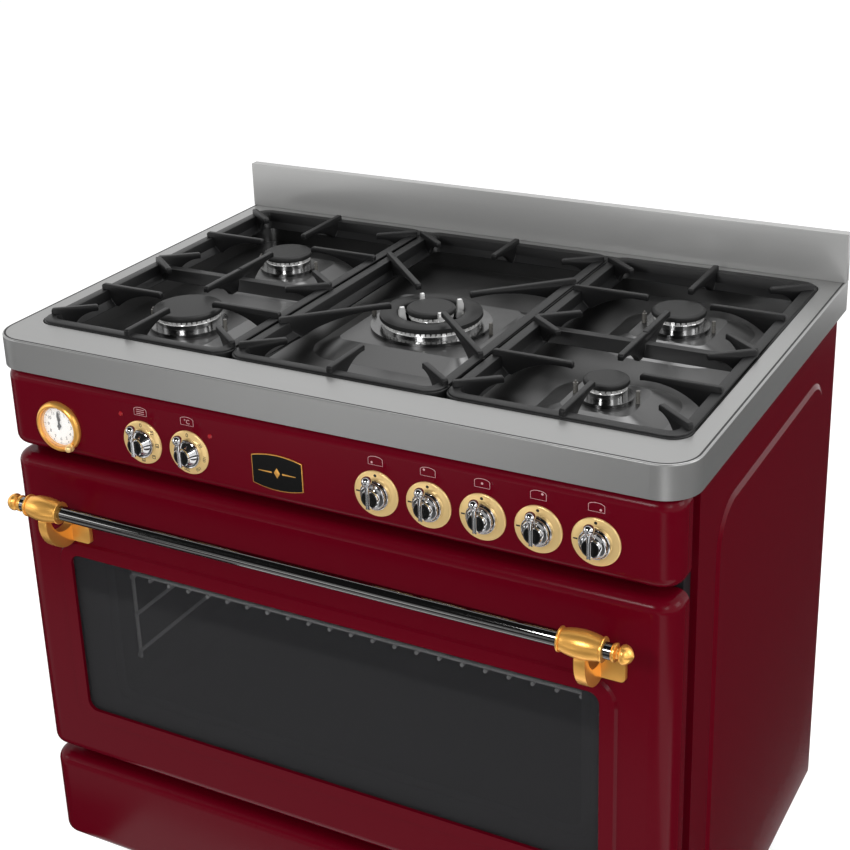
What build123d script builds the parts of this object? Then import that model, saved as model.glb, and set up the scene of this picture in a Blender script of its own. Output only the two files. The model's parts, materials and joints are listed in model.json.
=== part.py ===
"""Free-standing 90 cm range: a five-burner gas hob over an electric fan oven and a storage drawer.

Millimetres. X runs to the right, Y to the rear and Z up from the floor. The origin is on the floor,
in the middle of the overall box.
"""

import os
from math import atan2, cos, degrees, pi, radians, sin

from build123d import *

os.makedirs("parts", exist_ok=True)

# Overall sizes
range_width = 900.0
range_depth = 600.0
hob_height = 850.0
rim_height = 40.0
splash_height = 65.0
splash_thickness = 13.0
splash_leaf = 60.0
body_inset = 10.0
foot_height = 100.0

# Stock and fits
sheet = 1.5
glass_thickness = 4.0
wire_radius = 2.6
running_fit = 0.1
panel_fit = 0.5
lift_gap = 0.3

# Hob top, tray and grates
hob_corner = 42.0
hob_edge = 2.0
well_side_strip = 25.0
well_front = 58.0
well_rear_strip = 28.0
well_corner = 24.0
lip_depth = 8.0
tray_flange = 7.0
ledge_drop = 18.0
ledge_width = 15.0
tray_depth = 42.0
grate_play = 1.0
grate_rise = 1.0
grate_corner = 24.0
grate_eye_corner = 6.0
grate_crest_corner = 18.0
frame_crest = 7.0
frame_foot = 25.0
finger_rise = 10.0
finger_width = 7.0
finger_reach = 40.0
finger_tip = 8.0
finger_chamfer = 2.0
lug_length = 58.0
lug_angle = 38.0
lug_setback = 26.0
cross_bar_foot = 26.0
cross_bar_slope = 65.0
cross_bar_drop = 4.0
wok_finger_reach = 52.0
wok_end_finger = 80.0

# Burners
burner_side_gap = 139.0
front_row = 188.0
rear_row = 424.0
wok_row = 310.0
rapid_cap = 90.0
semi_cap = 68.0
aux_cap = 53.0
wok_inner_cap = 63.0
wok_ring_cap = 131.0
wok_ring_eye = 84.0
wok_base = 154.0
mound_height = 15.0
mound_flare = 34.0
mound_rim = 11.0
mound_round = 14.0
cup_flange = 4.0
cup_overhang = 5.0
cup_length = 34.0
cup_wall = 4.0
cup_sides = 16
head_height = 14.0
head_inset = 3.0
head_wall = 6.0
head_floor = 3.0
port_width = 2.2
port_depth = 4.5
port_pitch = 10.5
cap_thickness = 7.5
cap_round = 2.5
wok_ring_drop = 6.0
bridge_fin = 2.0
probe_radius = 3.0
probe_tip_radius = 1.2
probe_height = 15.0
probe_offset = 5.0
thermocouple_radius = 2.4

# Control fascia and what it carries
fascia_setback = 2.0
fascia_height = 104.0
fascia_depth = 40.0
front_corner = 28.0
front_edge = 14.0
knob_drop = 101.5
oven_knob_insets = (223.4, 290.6)
gas_knob_inset = 98.8
gas_knob_pitch = 64.8
gas_knob_count = 5
bezel_radius = 27.5
bezel_thickness = 2.0
bezel_slope = 20.0
collar_height = 5.0
collar_wall = 1.8
knob_skirt = 15.5
knob_neck = 9.0
knob_disc = 10.8
knob_disc_thickness = 2.5
knob_out = 17.0
knob_land = 3.0
knob_rib_width = 5.0
knob_rib_depth = 4.0
knob_rib_draft = 8.0
pointer_reach = 23.5
pointer_out = 20.5
pointer_ball = 6.0
pointer_stem = 2.6
push_travel = 4.0
spindle_radius = 4.0
spindle_depth = 28.0
clock_inset = 96.0
clock_drop = 105.0
clock_bezel = 33.0
clock_hole = 27.0
clock_depth = 22.0
clock_rise = 7.0
clock_roll = ((2.0, 0.0), (5.2, 1.6))
clock_flat = 4.5
dial_radius = 24.8
dial_thickness = 1.0
clock_glass_thickness = 1.2
clock_glass_out = 3.2
hand_thickness = 0.6
minute_hand_length = 20.0
hour_hand_length = 13.0
hand_gap = 0.4
hour_hand_width = 5.0
minute_hand_width = 4.0
arbor_radius = 1.25
arbor_back = 10.0
hub_wall = 0.85
hub_back = 6.0
movement_depth = 1.5
glass_play = 0.1
clock_glass_lap = 1.3
setting_knob_radius = 4.0
setting_knob_rise = 4.0
setting_shaft = 1.2
setting_angle = -45.0
badge_x = -37.0
badge_drop = 103.0
badge_width = 68.0
badge_height = 45.0
badge_bow = 5.0
badge_thickness = 1.6
badge_rim = 2.0
badge_rim_rise = 0.8
pilot_radius = 3.0
pilot_slope = 30.0
pilot_places = ((194.0, 70.0), (322.0, 75.0))

# Gas train behind the fascia
valve_front = 12.0
valve_length = 36.0
valve_width = 26.0
valve_height = 30.0
valve_nose = 11.0
plug_radius = 8.0
plug_length = 20.0
plug_setback = 4.0
rail_radius = 8.0
rail_drop = 24.0
rail_back = 30.0
rail_branch = 5.6
inlet_inset = 90.0
inlet_radius = 10.48
inlet_length = 30.0
pipe_radius = 4.0
pipe_bend = 18.0
pipe_bay_rows = (120.0, 240.0)
pipe_lane_offsets = (56.0, 41.0)
control_body = 44.0
control_depth = 34.0

# Oven door and handle
door_gap = 12.0
door_depth = 40.0
window_side = 92.0
window_foot = 78.0
window_drop = 124.0
window_corner = 14.0
window_border = 20.0
window_rise = 3.0
window_slope = 45.0
glass_lap = 10.0
liner_inset = 48.0
liner_setback = 4.0
liner_window_inset = 36.0
liner_pivot_gap = 8.0
pivot_rise = 25.0
pivot_back = 26.0
hinge_inset = 50.0
hinge_thickness = 6.0
hinge_length = 110.0
hinge_root = 40.0
hinge_toe = 4.0
hinge_heel = 12.0
ear_thickness = 3.0
ear_wall = 5.0
ear_rise = 30.0
ear_lean = 2.0
ear_root = 40.0
pin_radius = 4.0
pin_proud = 1.5
handle_out = 41.2
handle_drop = 198.0
bar_radius = 9.0
bar_overhang = 12.0
barrel_inset = 96.0
barrel_length = 50.0
barrel_radius = 15.8
barrel_end = 12.4
barrel_flange = 13.8
barrel_flange_width = 2.6
arm_width = 12.5
foot_plate_reach = 34.0
foot_plate_top = 33.5
foot_plate_height = 26.5
foot_plate_thickness = 5.0
foot_plate_corner = 6.0
foot_plate_draft = 6.0
finial_ring = 10.2
finial_ring_width = 3.0
finial_neck = 5.5
finial_waist = 4.0
finial_dome = 10.8
finial_dome_length = 13.0

# Oven interior
frame_gap = 2.0
frame_reach = 22.0
frame_inset = 8.0
frame_top_gap = 4.0
frame_border = 17.0
frame_lintel = 6.0
frame_sill = 10.0
cavity_side = 105.0
cavity_height = 326.0
cavity_headroom = 47.0
cavity_rear_gap = 72.5
cavity_corner = 24.0
mouth_rise = 16.0
frame_hinge_clear = 18.0
seal_width = 9.0
seal_offset = 4.0
shelf_drop = 350.0
shelf_bars = 23
shelf_setback = 36.0
shelf_rear_gap = 8.5
shelf_end_gap = 5.0
shelf_overlap = 1.6
rail_wall_gap = 9.0
rail_levels = 5
rail_pitch = 56.0
rail_post_gaps = (12.0, 24.0)
rail_post_tail = 14.0
rail_overhang = 8.0
fan_radius = 74.0
fan_depth = 18.0
fan_blades = 12
fan_hub = 10.0
blade_length = 37.0
blade_inset = 3.7
blade_turn = 25.0
fan_cover_width = 380.0
fan_cover_margin = 18.0
fan_cover_gap = 32.0
intake_slots = 16
intake_width = 5.0
intake_inner = 18.5
intake_length = 37.0
louvre_count = 9
louvre_width = 26.0
louvre_height = 8.0
louvre_inset = 30.0
wheel_gap = 6.0
motor_radius = 36.0
motor_neck = 21.6
motor_length = 44.0
motor_standoff = 8.0
motor_sides = 12
motor_strap = (108.0, 18.0)
shaft_depth = 20.0
shaft_room = 2.0
shaft_radius = 4.0
element_radius = 3.4
ring_element_radius = 92.0
ring_tail = 12.0
grill_side_gap = 85.0
grill_drop = 22.0
grill_front_gap = 90.0
grill_rear_gap = 60.0
grill_legs = 6
loop_side_gap = 83.0
loop_front_gap = 80.0
lamp_radius = 24.0
lamp_side_gap = 85.0
lamp_drop = 60.0

# Body panels and drawer
field_rise = 2.5
field_margin_front = 60.0
field_margin_rear = 50.0
field_drop = 106.0
field_rise_bottom = 70.0
field_corner = 55.0
panel_flange = 18.0
panel_rear_gap = 5.0
field_slope = 70.0
rear_recess = 42.0
rear_top_gap = 10.0
inlet_clear = 2.0
terminal_inset = 120.0
terminal_height = 420.0
terminal_size = (90.0, 70.0)
terminal_depth = 24.0
vent_count = 14
vent_width = 5.0
vent_height = 40.0
vent_pitch = 40.0
vent_drop = 60.0
drawer_gap = 16.0
drawer_rise = 16.0
drawer_front_depth = 30.0
drawer_side = 55.0
drawer_rear_gap = 93.0
drawer_headroom = 20.5
drawer_floor_gap = 9.0
drawer_lip = 14.0
drawer_lip_setback = 40.0
drawer_plate_margin = 4.0
rail_shelf = 12.0
rail_clear = 3.0
rail_rear_gap = 20.0
foot_pad_radius = 24.0
foot_pad_height = 14.0
foot_stem_radius = 6.0
foot_nut_radius = 14.0
foot_nut_height = 10.0
foot_inset = 60.0

# Derived levels and planes
handle_reach = handle_out + barrel_radius
hob_front = -(range_depth - handle_reach) / 2
rim_bottom = hob_height - rim_height
hob_depth = range_depth - sheet
half_width = range_width / 2
body_half = half_width - body_inset
fascia_front = hob_front + fascia_setback
fascia_top = rim_bottom - panel_fit
fascia_bottom = fascia_top - fascia_height
knob_z = hob_height - knob_drop
door_front = hob_front
door_top = fascia_bottom - door_gap
door_height = pivot_rise + frame_hinge_clear + mouth_rise + cavity_height + cavity_headroom
door_bottom = door_top - door_height
frame_front = door_front + door_depth + frame_gap
pivot_y = door_front + pivot_back
pivot_z = door_bottom + pivot_rise
frame_bottom = pivot_z + frame_hinge_clear
cavity_floor = frame_bottom + mouth_rise
cavity_mid = cavity_floor + cavity_height / 2
panel_front = frame_front + frame_reach
panel_rear = hob_front + range_depth - panel_rear_gap
rear_face = panel_rear - rear_recess
cavity_width = range_width - 2 * cavity_side
cavity_back = rear_face - cavity_rear_gap
cavity_depth = cavity_back - frame_front - sheet
handle_y = door_front - handle_out
handle_z = hob_height - handle_drop
window_width = range_width - 2 * window_side
window_height = door_height - window_drop - window_foot
window_z = door_top - window_drop - window_height / 2
hinge_x = half_width - hinge_inset
barrel_x = half_width - barrel_inset
drawer_top = door_bottom - drawer_gap
drawer_bottom = foot_height + drawer_rise
clock_x = clock_inset - half_width
clock_z = hob_height - clock_drop
inlet_x = half_width - inlet_inset
oven_knob_x = [inset - half_width for inset in oven_knob_insets]
gas_knobs = [half_width - gas_knob_inset - gas_knob_pitch * i for i in reversed(range(gas_knob_count))]

well_width = range_width - 2 * well_side_strip
well_depth = hob_depth - well_front - well_rear_strip
well_y = hob_front + well_front + well_depth / 2
ledge_z = hob_height - ledge_drop
tray_floor = hob_height - tray_depth
mound_top = tray_floor + mound_height
head_base = mound_top + cup_flange
cap_base = head_base + head_height
side_burner_x = well_width / 2 - burner_side_gap
side_burners = (
    (-side_burner_x, hob_front + front_row, rapid_cap),
    (-side_burner_x, hob_front + rear_row, semi_cap),
    (side_burner_x, hob_front + rear_row, semi_cap),
    (side_burner_x, hob_front + front_row, aux_cap),
)
wok_y = hob_front + wok_row


def face_plane(y):
    """Upright plane facing the cook: local x runs right and local y runs up."""
    return Plane(origin=(0, y, 0), x_dir=(1, 0, 0), z_dir=(0, -1, 0))


def slice_plane(x):
    """Upright plane facing right: local x runs to the rear and local y runs up."""
    return Plane(origin=(x, 0, 0), x_dir=(0, 1, 0), z_dir=(1, 0, 0))


def floor_plane(x, y, z):
    """Level plane with its own origin."""
    return Plane(origin=(x, y, z))


def ball_section(plane, radius):
    """Half section of a turned ball, on the right of the plane's own y axis."""
    steps = 6
    swing = [pi * i / steps for i in range(steps + 1)]
    with BuildSketch(plane) as section:
        Polygon(*[(radius * sin(t), radius * cos(t)) for t in swing], align=None)
    return section.sketch


def save(part, name):
    """Label a finished piece and write it to its own file."""
    part.label = name
    export_step(part, f"parts/{name}.step")


# Hob top: one stainless pressing with a deep rim and a lipped well opening
with BuildPart() as hob_top:
    with BuildSketch(Plane.XY.offset(rim_bottom)) as hob_outline:
        with Locations((0, hob_front + hob_depth / 2)):
            Rectangle(range_width, hob_depth)
        fillet(hob_outline.vertices().group_by(Axis.Y)[0], hob_corner)
    extrude(amount=rim_height)
    fillet(hob_top.faces().sort_by(Axis.Z)[-1].edges(), hob_edge)
    offset(amount=-sheet, openings=hob_top.faces().sort_by(Axis.Z)[0])
    with BuildSketch(floor_plane(0, well_y, hob_height)):
        RectangleRounded(well_width, well_depth, well_corner)
    extrude(amount=-rim_height / 2, mode=Mode.SUBTRACT)
    with BuildSketch(floor_plane(0, well_y, hob_height - sheet)):
        RectangleRounded(well_width + 2 * sheet, well_depth + 2 * sheet, well_corner + sheet)
        RectangleRounded(well_width, well_depth, well_corner, mode=Mode.SUBTRACT)
    extrude(amount=-lip_depth)
save(hob_top.part, "hob_top")

# Hob tray: stepped pan that hangs under the well, with a square mound at each burner
mouth_grow = 2 * (sheet + panel_fit)
tray_top = hob_height - sheet
mounds = [(x, y, cap / 2 + cup_overhang + mound_rim) for x, y, cap in side_burners]
mounds.append((0, wok_y, wok_base / 2 + mound_rim))
mound_slope = degrees(atan2(mound_flare, mound_height))
burner_holes = [(x, y, cap / 2 - head_inset) for x, y, cap in side_burners]
burner_holes.append((0, wok_y, wok_ring_cap / 2 - head_inset))
with BuildPart() as hob_tray:
    for grow, upper, lower in (
        (mouth_grow + 2 * tray_flange, tray_top, tray_top - sheet),
        (mouth_grow + 2 * sheet, tray_top, ledge_z - sheet),
        (mouth_grow - 2 * ledge_width + 2 * sheet, ledge_z, tray_floor - sheet),
    ):
        with BuildSketch(floor_plane(0, well_y, upper)):
            RectangleRounded(well_width + grow, well_depth + grow, well_corner)
        extrude(amount=lower - upper)
    for grow, upper, lower in (
        (mouth_grow, tray_top, ledge_z),
        (mouth_grow - 2 * ledge_width, ledge_z, tray_floor),
    ):
        with BuildSketch(floor_plane(0, well_y, upper)):
            RectangleRounded(well_width + grow, well_depth + grow, well_corner)
        extrude(amount=lower - upper, mode=Mode.SUBTRACT)
    for level, mode in ((tray_floor, Mode.ADD), (tray_floor - sheet, Mode.SUBTRACT)):
        for x, y, crest in mounds:
            with BuildSketch(floor_plane(x, y, level)):
                mound_side = 2 * (crest + mound_flare)
                RectangleRounded(mound_side, mound_side, mound_flare + mound_round)
            extrude(amount=mound_height, taper=mound_slope, mode=mode)
    with BuildSketch(Plane.XY.offset(mound_top)):
        for x, y, hole in burner_holes:
            with Locations((x, y)):
                Circle(hole)
    extrude(amount=-2 * sheet, mode=Mode.SUBTRACT)
    with BuildSketch(Plane.XY.offset(mound_top)):
        for x, y, crest in mounds:
            for side, radius in ((-1, probe_radius), (1, thermocouple_radius)):
                with Locations((x + side * (crest - probe_offset), y)):
                    Circle(radius + lift_gap)
    extrude(amount=-2 * sheet, mode=Mode.SUBTRACT)
save(hob_tray.part, "hob_tray")

# Burner cups: mixing chambers under the tray, each with a flange that seats on its mound
cup_flanges = [(x, y, cap / 2 + cup_overhang) for x, y, cap in side_burners]
cup_flanges.append((0, wok_y, wok_base / 2))
with BuildPart() as burner_cups:
    for (x, y, flange), (_, _, hole) in zip(cup_flanges, burner_holes):
        with BuildSketch(floor_plane(x, y, mound_top)):
            Circle(flange)
        extrude(amount=cup_flange)
        with BuildSketch(floor_plane(x, y, mound_top)):
            RegularPolygon(hole - panel_fit, cup_sides)
        extrude(amount=-cup_length)
        with BuildSketch(floor_plane(x, y, head_base)):
            RegularPolygon(hole - panel_fit - cup_wall, cup_sides)
        extrude(amount=-cup_length, mode=Mode.SUBTRACT)
save(burner_cups.part, "burner_cups")

# Burner heads: aluminium crowns with a ring of flame ports under the cap
head_rings = [(x, y, cap / 2 - head_inset, head_base, head_height) for x, y, cap in side_burners]
wok_inner_radius = wok_inner_cap / 2 - head_inset
wok_outer_radius = wok_ring_cap / 2 - head_inset
wok_outer_height = head_height - wok_ring_drop
head_rings.append((0, wok_y, wok_outer_radius, head_base, wok_outer_height))
head_rings.append((0, wok_y, wok_inner_radius, head_base, head_height))
with BuildPart() as burner_heads:
    for x, y, radius, base, height in head_rings:
        with BuildSketch(floor_plane(x, y, base)):
            Circle(radius)
        extrude(amount=head_floor)
        with BuildSketch(floor_plane(x, y, base)):
            Circle(radius)
            Circle(radius - head_wall, mode=Mode.SUBTRACT)
        extrude(amount=height)
    for x, y, radius, base, height in head_rings:
        ports = int(2 * pi * radius / port_pitch)
        with BuildSketch(floor_plane(x, y, base + height)):
            with PolarLocations(radius - head_wall / 2, ports):
                Rectangle(2 * head_wall, port_width)
        extrude(amount=-port_depth, mode=Mode.SUBTRACT)
    with BuildSketch(floor_plane(0, wok_y, head_base)):
        with PolarLocations((wok_inner_radius + wok_ring_eye / 2) / 2, 4, start_angle=45):
            Rectangle(wok_ring_eye / 2 - wok_inner_radius - bridge_fin, bridge_fin)
    extrude(amount=head_height)
save(burner_heads.part, "burner_heads")

# Burner caps: satin black lids, and the ring lid of the wok burner
cap_discs = [(x, y, cap / 2, 0, cap_base) for x, y, cap in side_burners]
cap_discs.append((0, wok_y, wok_inner_cap / 2, 0, cap_base))
cap_discs.append((0, wok_y, wok_ring_cap / 2, wok_ring_eye / 2, head_base + wok_outer_height))
with BuildPart() as burner_caps:
    for x, y, radius, eye, base in cap_discs:
        with BuildSketch(Plane(origin=(x, y, base), x_dir=(1, 0, 0), z_dir=(0, -1, 0))):
            Polygon(
                (radius, cap_round),
                (radius - cap_round, 0),
                (eye, 0),
                (eye, cap_thickness),
                (radius - 2 * cap_round, cap_thickness),
                (radius, cap_thickness - cap_round),
                align=None,
            )
        revolve(axis=Axis((x, y, 0), (0, 0, 1)))
save(burner_caps.part, "burner_caps")

# Burner probes: a ceramic spark electrode and a thermocouple through the tray at each burner
with BuildPart() as burner_probes:
    for x, y, crest in mounds:
        with BuildSketch(floor_plane(x - crest + probe_offset, y, mound_top - probe_height)):
            Circle(probe_radius)
        extrude(amount=2 * probe_height - probe_radius)
        with BuildSketch(floor_plane(x - crest + probe_offset, y, mound_top + probe_height - probe_radius)):
            Circle(probe_tip_radius)
        extrude(amount=probe_radius)
        with BuildSketch(floor_plane(x + crest - probe_offset, y, mound_top - probe_height)):
            Circle(thermocouple_radius)
        extrude(amount=2 * probe_height)
save(burner_probes.part, "burner_probes")

# Grates: cast-iron frames with an inward slope, carrying blade fingers round each burner
grate_top = hob_height + grate_rise
grate_front = well_y - well_depth / 2 + grate_play
grate_rear = well_y + well_depth / 2 - grate_play
grate_half = well_width / 2 - grate_play
grate_split = well_width / 6
finger_top = hob_height + finger_rise
bar_mid = frame_crest / 2


def blade(foot, tip):
    """Side view of one finger: flat top, hollowed underside, deep at its foot on the frame."""
    run = Vector(tip[0] - foot[0], tip[1] - foot[1], 0)
    along = run.normalized()
    plane = Plane(origin=(foot[0], foot[1], ledge_z), x_dir=along, z_dir=(along.Y, -along.X, 0))
    length = run.length
    top = finger_top - ledge_z
    root = frame_foot
    with BuildSketch(plane) as side_view:
        with BuildLine():
            Polyline(
                (root, 0),
                (0, 0),
                (0, top - finger_chamfer),
                (finger_chamfer, top),
                (length - finger_chamfer, top),
                (length, top - finger_chamfer),
                (length, top - finger_tip),
            )
            ThreePointArc(
                (length, top - finger_tip),
                (root + 0.3 * (length - root), 0.66 * (top - finger_tip)),
                (root, 0),
            )
        make_face()
    return side_view.sketch


def lugs(corner_x, corner_y, turn_x, turn_y):
    """One short finger that points from a frame bar into a cell."""
    swing = radians(lug_angle)
    return (
        (corner_x, corner_y),
        (corner_x + turn_x * lug_length * cos(swing), corner_y + turn_y * lug_length * sin(swing)),
    )


def side_fingers(bars, burner_x):
    """Fingers of a two-burner grate between its left and right bars."""
    front, rear = hob_front + front_row, hob_front + rear_row
    middle = (front + rear) / 2
    found = [
        ((burner_x, grate_front + bar_mid), (burner_x, front - finger_reach)),
        ((burner_x, middle), (burner_x, front + finger_reach)),
        ((burner_x, middle), (burner_x, rear - finger_reach)),
        ((burner_x, grate_rear - bar_mid), (burner_x, rear + finger_reach)),
    ]
    for bar, turn in zip(bars, (1, -1)):
        foot = bar + turn * bar_mid
        for row in (front, rear):
            found.append(((foot, row), (burner_x - turn * finger_reach, row)))
        found.append(lugs(foot, grate_front + lug_setback, turn, 1))
        found.append(lugs(foot, middle, turn, -1))
        found.append(lugs(foot, middle, turn, 1))
        found.append(lugs(foot, grate_rear - lug_setback, turn, -1))
    return found, (middle,)


def wok_fingers(bars):
    """Fingers of the single-burner grate: four long diagonals, two end fingers and corner lugs."""
    found = [
        ((0, grate_front + bar_mid), (0, grate_front + wok_end_finger)),
        ((0, grate_rear - bar_mid), (0, grate_rear - wok_end_finger)),
    ]
    diagonal = wok_finger_reach * cos(radians(45))
    for bar, turn in zip(bars, (1, -1)):
        foot = bar + turn * bar_mid
        for lean in (-1, 1):
            run = abs(foot) - diagonal
            tip_y = wok_y + lean * diagonal
            found.append(((foot, tip_y + lean * run), (-turn * diagonal, tip_y)))
        found.append(lugs(foot, grate_front + lug_setback, turn, 1))
        found.append(lugs(foot, grate_rear - lug_setback, turn, -1))
    return found, ()


half_play = grate_play / 2
left_bars = (-grate_half, -grate_split - half_play)
centre_bars = (-grate_split + half_play, grate_split - half_play)
right_bars = (grate_split + half_play, grate_half)
grate_plans = (
    ("grate_left", left_bars, side_fingers(left_bars, -side_burner_x)),
    ("grate_centre", centre_bars, wok_fingers(centre_bars)),
    ("grate_right", right_bars, side_fingers(right_bars, side_burner_x)),
)
grate_depth = grate_rear - grate_front
frame_tall = grate_top - ledge_z
for grate_name, bars, (fingers, cross_bars) in grate_plans:
    grate_width = bars[1] - bars[0]
    grate_x = (bars[0] + bars[1]) / 2
    with BuildPart() as grate:
        with BuildSketch(floor_plane(grate_x, well_y, ledge_z)):
            RectangleRounded(grate_width, grate_depth, grate_corner)
        extrude(amount=frame_tall)
        with BuildSketch(floor_plane(grate_x, well_y, ledge_z)):
            RectangleRounded(grate_width - 2 * frame_foot, grate_depth - 2 * frame_foot, grate_eye_corner)
        with BuildSketch(floor_plane(grate_x, well_y, grate_top)):
            RectangleRounded(grate_width - 2 * frame_crest, grate_depth - 2 * frame_crest, grate_crest_corner)
        loft(ruled=True, mode=Mode.SUBTRACT)
        for bar_y in cross_bars:
            with BuildSketch(slice_plane(bars[0] + bar_mid)):
                with Locations((bar_y, ledge_z)):
                    Trapezoid(
                        cross_bar_foot,
                        frame_tall - cross_bar_drop,
                        cross_bar_slope,
                        align=(Align.CENTER, Align.MIN),
                    )
            extrude(amount=grate_width - 2 * bar_mid)
        for foot, tip in fingers:
            extrude(blade(foot, tip), amount=finger_width / 2, both=True)
    save(grate.part, grate_name)

# Backsplash: folded stainless upstand with a leaf that goes down behind the hob rim
splash_rear = hob_front + range_depth
with BuildPart() as backsplash:
    with BuildSketch(floor_plane(0, splash_rear - splash_thickness / 2, hob_height)):
        Rectangle(range_width, splash_thickness)
    extrude(amount=splash_height)
    offset(amount=-sheet, openings=backsplash.faces().sort_by(Axis.Z)[0])
    with BuildSketch(face_plane(splash_rear)):
        Polygon(
            (-range_width / 2, hob_height),
            (splash_leaf - range_width / 2, hob_height - splash_leaf),
            (range_width / 2 - splash_leaf, hob_height - splash_leaf),
            (range_width / 2, hob_height),
            align=None,
        )
    extrude(amount=sheet)
save(backsplash.part, "backsplash")


def front_block(half, top, bottom, front, rear, corner, edge):
    """Solid front with rounded ends and rounded upper and lower edges, square at the rear."""
    with BuildPart() as block:
        with BuildSketch(Plane.XY.offset(bottom)) as plan:
            with Locations((0, (front + rear) / 2)):
                Rectangle(2 * half, rear - front)
            fillet(plan.vertices().group_by(Axis.Y)[0], corner)
        extrude(amount=top - bottom)
        for end in (-1, 0):
            outline = block.faces().sort_by(Axis.Z)[end].edges().sort_by(Axis.Y)
            fillet(outline[:-1], edge)
    return block.part


def front_shell(top, bottom, front, depth):
    """Enamelled front pressing, open at the rear."""
    rear = front + depth
    with BuildPart() as shell:
        add(front_block(body_half, top, bottom, front, rear, front_corner, front_edge))
        add(
            front_block(
                body_half - sheet,
                top - sheet,
                bottom + sheet,
                front + sheet,
                rear + sheet,
                front_corner - sheet,
                front_edge - sheet,
            ),
            mode=Mode.SUBTRACT,
        )
    return shell.part


# Control fascia with its knob and clock holes
with BuildPart() as control_fascia:
    add(front_shell(fascia_top, fascia_bottom, fascia_front, fascia_depth))
    with BuildSketch(face_plane(fascia_front)):
        for x in (*oven_knob_x, *gas_knobs):
            with Locations((x, knob_z)):
                Circle(spindle_radius + panel_fit)
        with Locations((clock_x, clock_z)):
            Circle(clock_hole + panel_fit)
    extrude(amount=-2 * sheet, mode=Mode.SUBTRACT)
save(control_fascia.part, "control_fascia")

# Knob bezels: brass scale rings with a raised collar round the knob skirt
collar_inner = knob_skirt + panel_fit
with BuildPart() as knob_bezels:
    for x in (*oven_knob_x, *gas_knobs):
        with BuildSketch(face_plane(fascia_front)):
            with Locations((x, knob_z)):
                Circle(bezel_radius)
                Circle(spindle_radius + panel_fit, mode=Mode.SUBTRACT)
        extrude(amount=bezel_thickness, taper=bezel_slope)
        with BuildSketch(face_plane(fascia_front - bezel_thickness)):
            with Locations((x, knob_z)):
                Circle(collar_inner + collar_wall)
                Circle(collar_inner, mode=Mode.SUBTRACT)
        extrude(amount=collar_height)
save(knob_bezels.part, "knob_bezels")


def turned_knob(x, rest_gap):
    """Chrome knob with a grip rib and a ball pointer, on its own spindle."""
    skirt_back = bezel_thickness + rest_gap
    with BuildPart() as knob:
        with BuildSketch(slice_plane(x)):
            with Locations((fascia_front, knob_z)):
                Polygon(
                    (-skirt_back, spindle_radius),
                    (-skirt_back, knob_skirt),
                    (-skirt_back - knob_land, knob_skirt),
                    (knob_disc_thickness - knob_out, knob_neck),
                    (knob_disc_thickness - knob_out, knob_disc),
                    (-knob_out, knob_disc),
                    (-knob_out, 0),
                    (spindle_depth, 0),
                    (spindle_depth, spindle_radius),
                    align=None,
                )
        revolve(axis=Axis((x, 0, knob_z), (0, 1, 0)))
        with BuildSketch(face_plane(fascia_front - knob_out)):
            with Locations((x, knob_z)):
                Rectangle(knob_rib_width, 2 * knob_disc)
        extrude(amount=knob_rib_depth, taper=knob_rib_draft)
        ball_y = fascia_front - pointer_out
        with BuildSketch(floor_plane(x, ball_y, knob_z + knob_disc / 2)):
            Circle(pointer_stem)
        extrude(amount=pointer_reach - knob_disc / 2)
        ball_plane = Plane(origin=(x, ball_y, knob_z + pointer_reach), x_dir=(1, 0, 0), z_dir=(0, -1, 0))
        revolve(ball_section(ball_plane, pointer_ball), axis=Axis((x, ball_y, 0), (0, 0, 1)))
    return knob.part


for number, x in enumerate(gas_knobs, 1):
    save(turned_knob(x, push_travel + panel_fit), f"gas_knob_{number}")
for knob_name, x in zip(("selector_knob", "thermostat_knob"), oven_knob_x):
    save(turned_knob(x, panel_fit), knob_name)

# Gas valves behind the fascia, each with a bore for its plug and a nose round the spindle
plug_front = fascia_front + valve_front + plug_setback
spindle_bore = spindle_radius + running_fit
with BuildPart() as gas_valves:
    for x in gas_knobs:
        with BuildSketch(face_plane(fascia_front + valve_front)):
            with Locations((x, knob_z)):
                Rectangle(valve_width, valve_height)
        extrude(amount=-valve_length)
        with BuildSketch(face_plane(fascia_front + sheet)):
            with Locations((x, knob_z)):
                RegularPolygon(valve_nose, 6)
        extrude(amount=sheet - valve_front)
        with BuildSketch(face_plane(plug_front - lift_gap)):
            with Locations((x, knob_z)):
                Circle(plug_radius + running_fit)
        extrude(amount=-plug_length - 2 * lift_gap, mode=Mode.SUBTRACT)
        with BuildSketch(face_plane(fascia_front)):
            with Locations((x, knob_z)):
                Circle(spindle_bore + running_fit)
        extrude(amount=fascia_front - plug_front, mode=Mode.SUBTRACT)
    with BuildSketch(Plane.XY.offset(knob_z - valve_height / 2)):
        for x in gas_knobs:
            with Locations((x, hob_front + rail_back)):
                RegularPolygon(rail_branch, 6)
    extrude(amount=valve_height / 2 - rail_drop + rail_radius)
save(gas_valves.part, "gas_valves")

# Gas plugs: the cocks that the spindles turn and slide in
for number, x in enumerate(gas_knobs, 1):
    with BuildPart() as gas_plug:
        with BuildSketch(face_plane(plug_front)):
            with Locations((x, knob_z)):
                Circle(plug_radius)
        extrude(amount=-plug_length)
        with BuildSketch(face_plane(plug_front)):
            with Locations((x, knob_z)):
                Circle(spindle_bore)
        extrude(amount=sheet - plug_length, mode=Mode.SUBTRACT)
    save(gas_plug.part, f"gas_plug_{number}")

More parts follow.
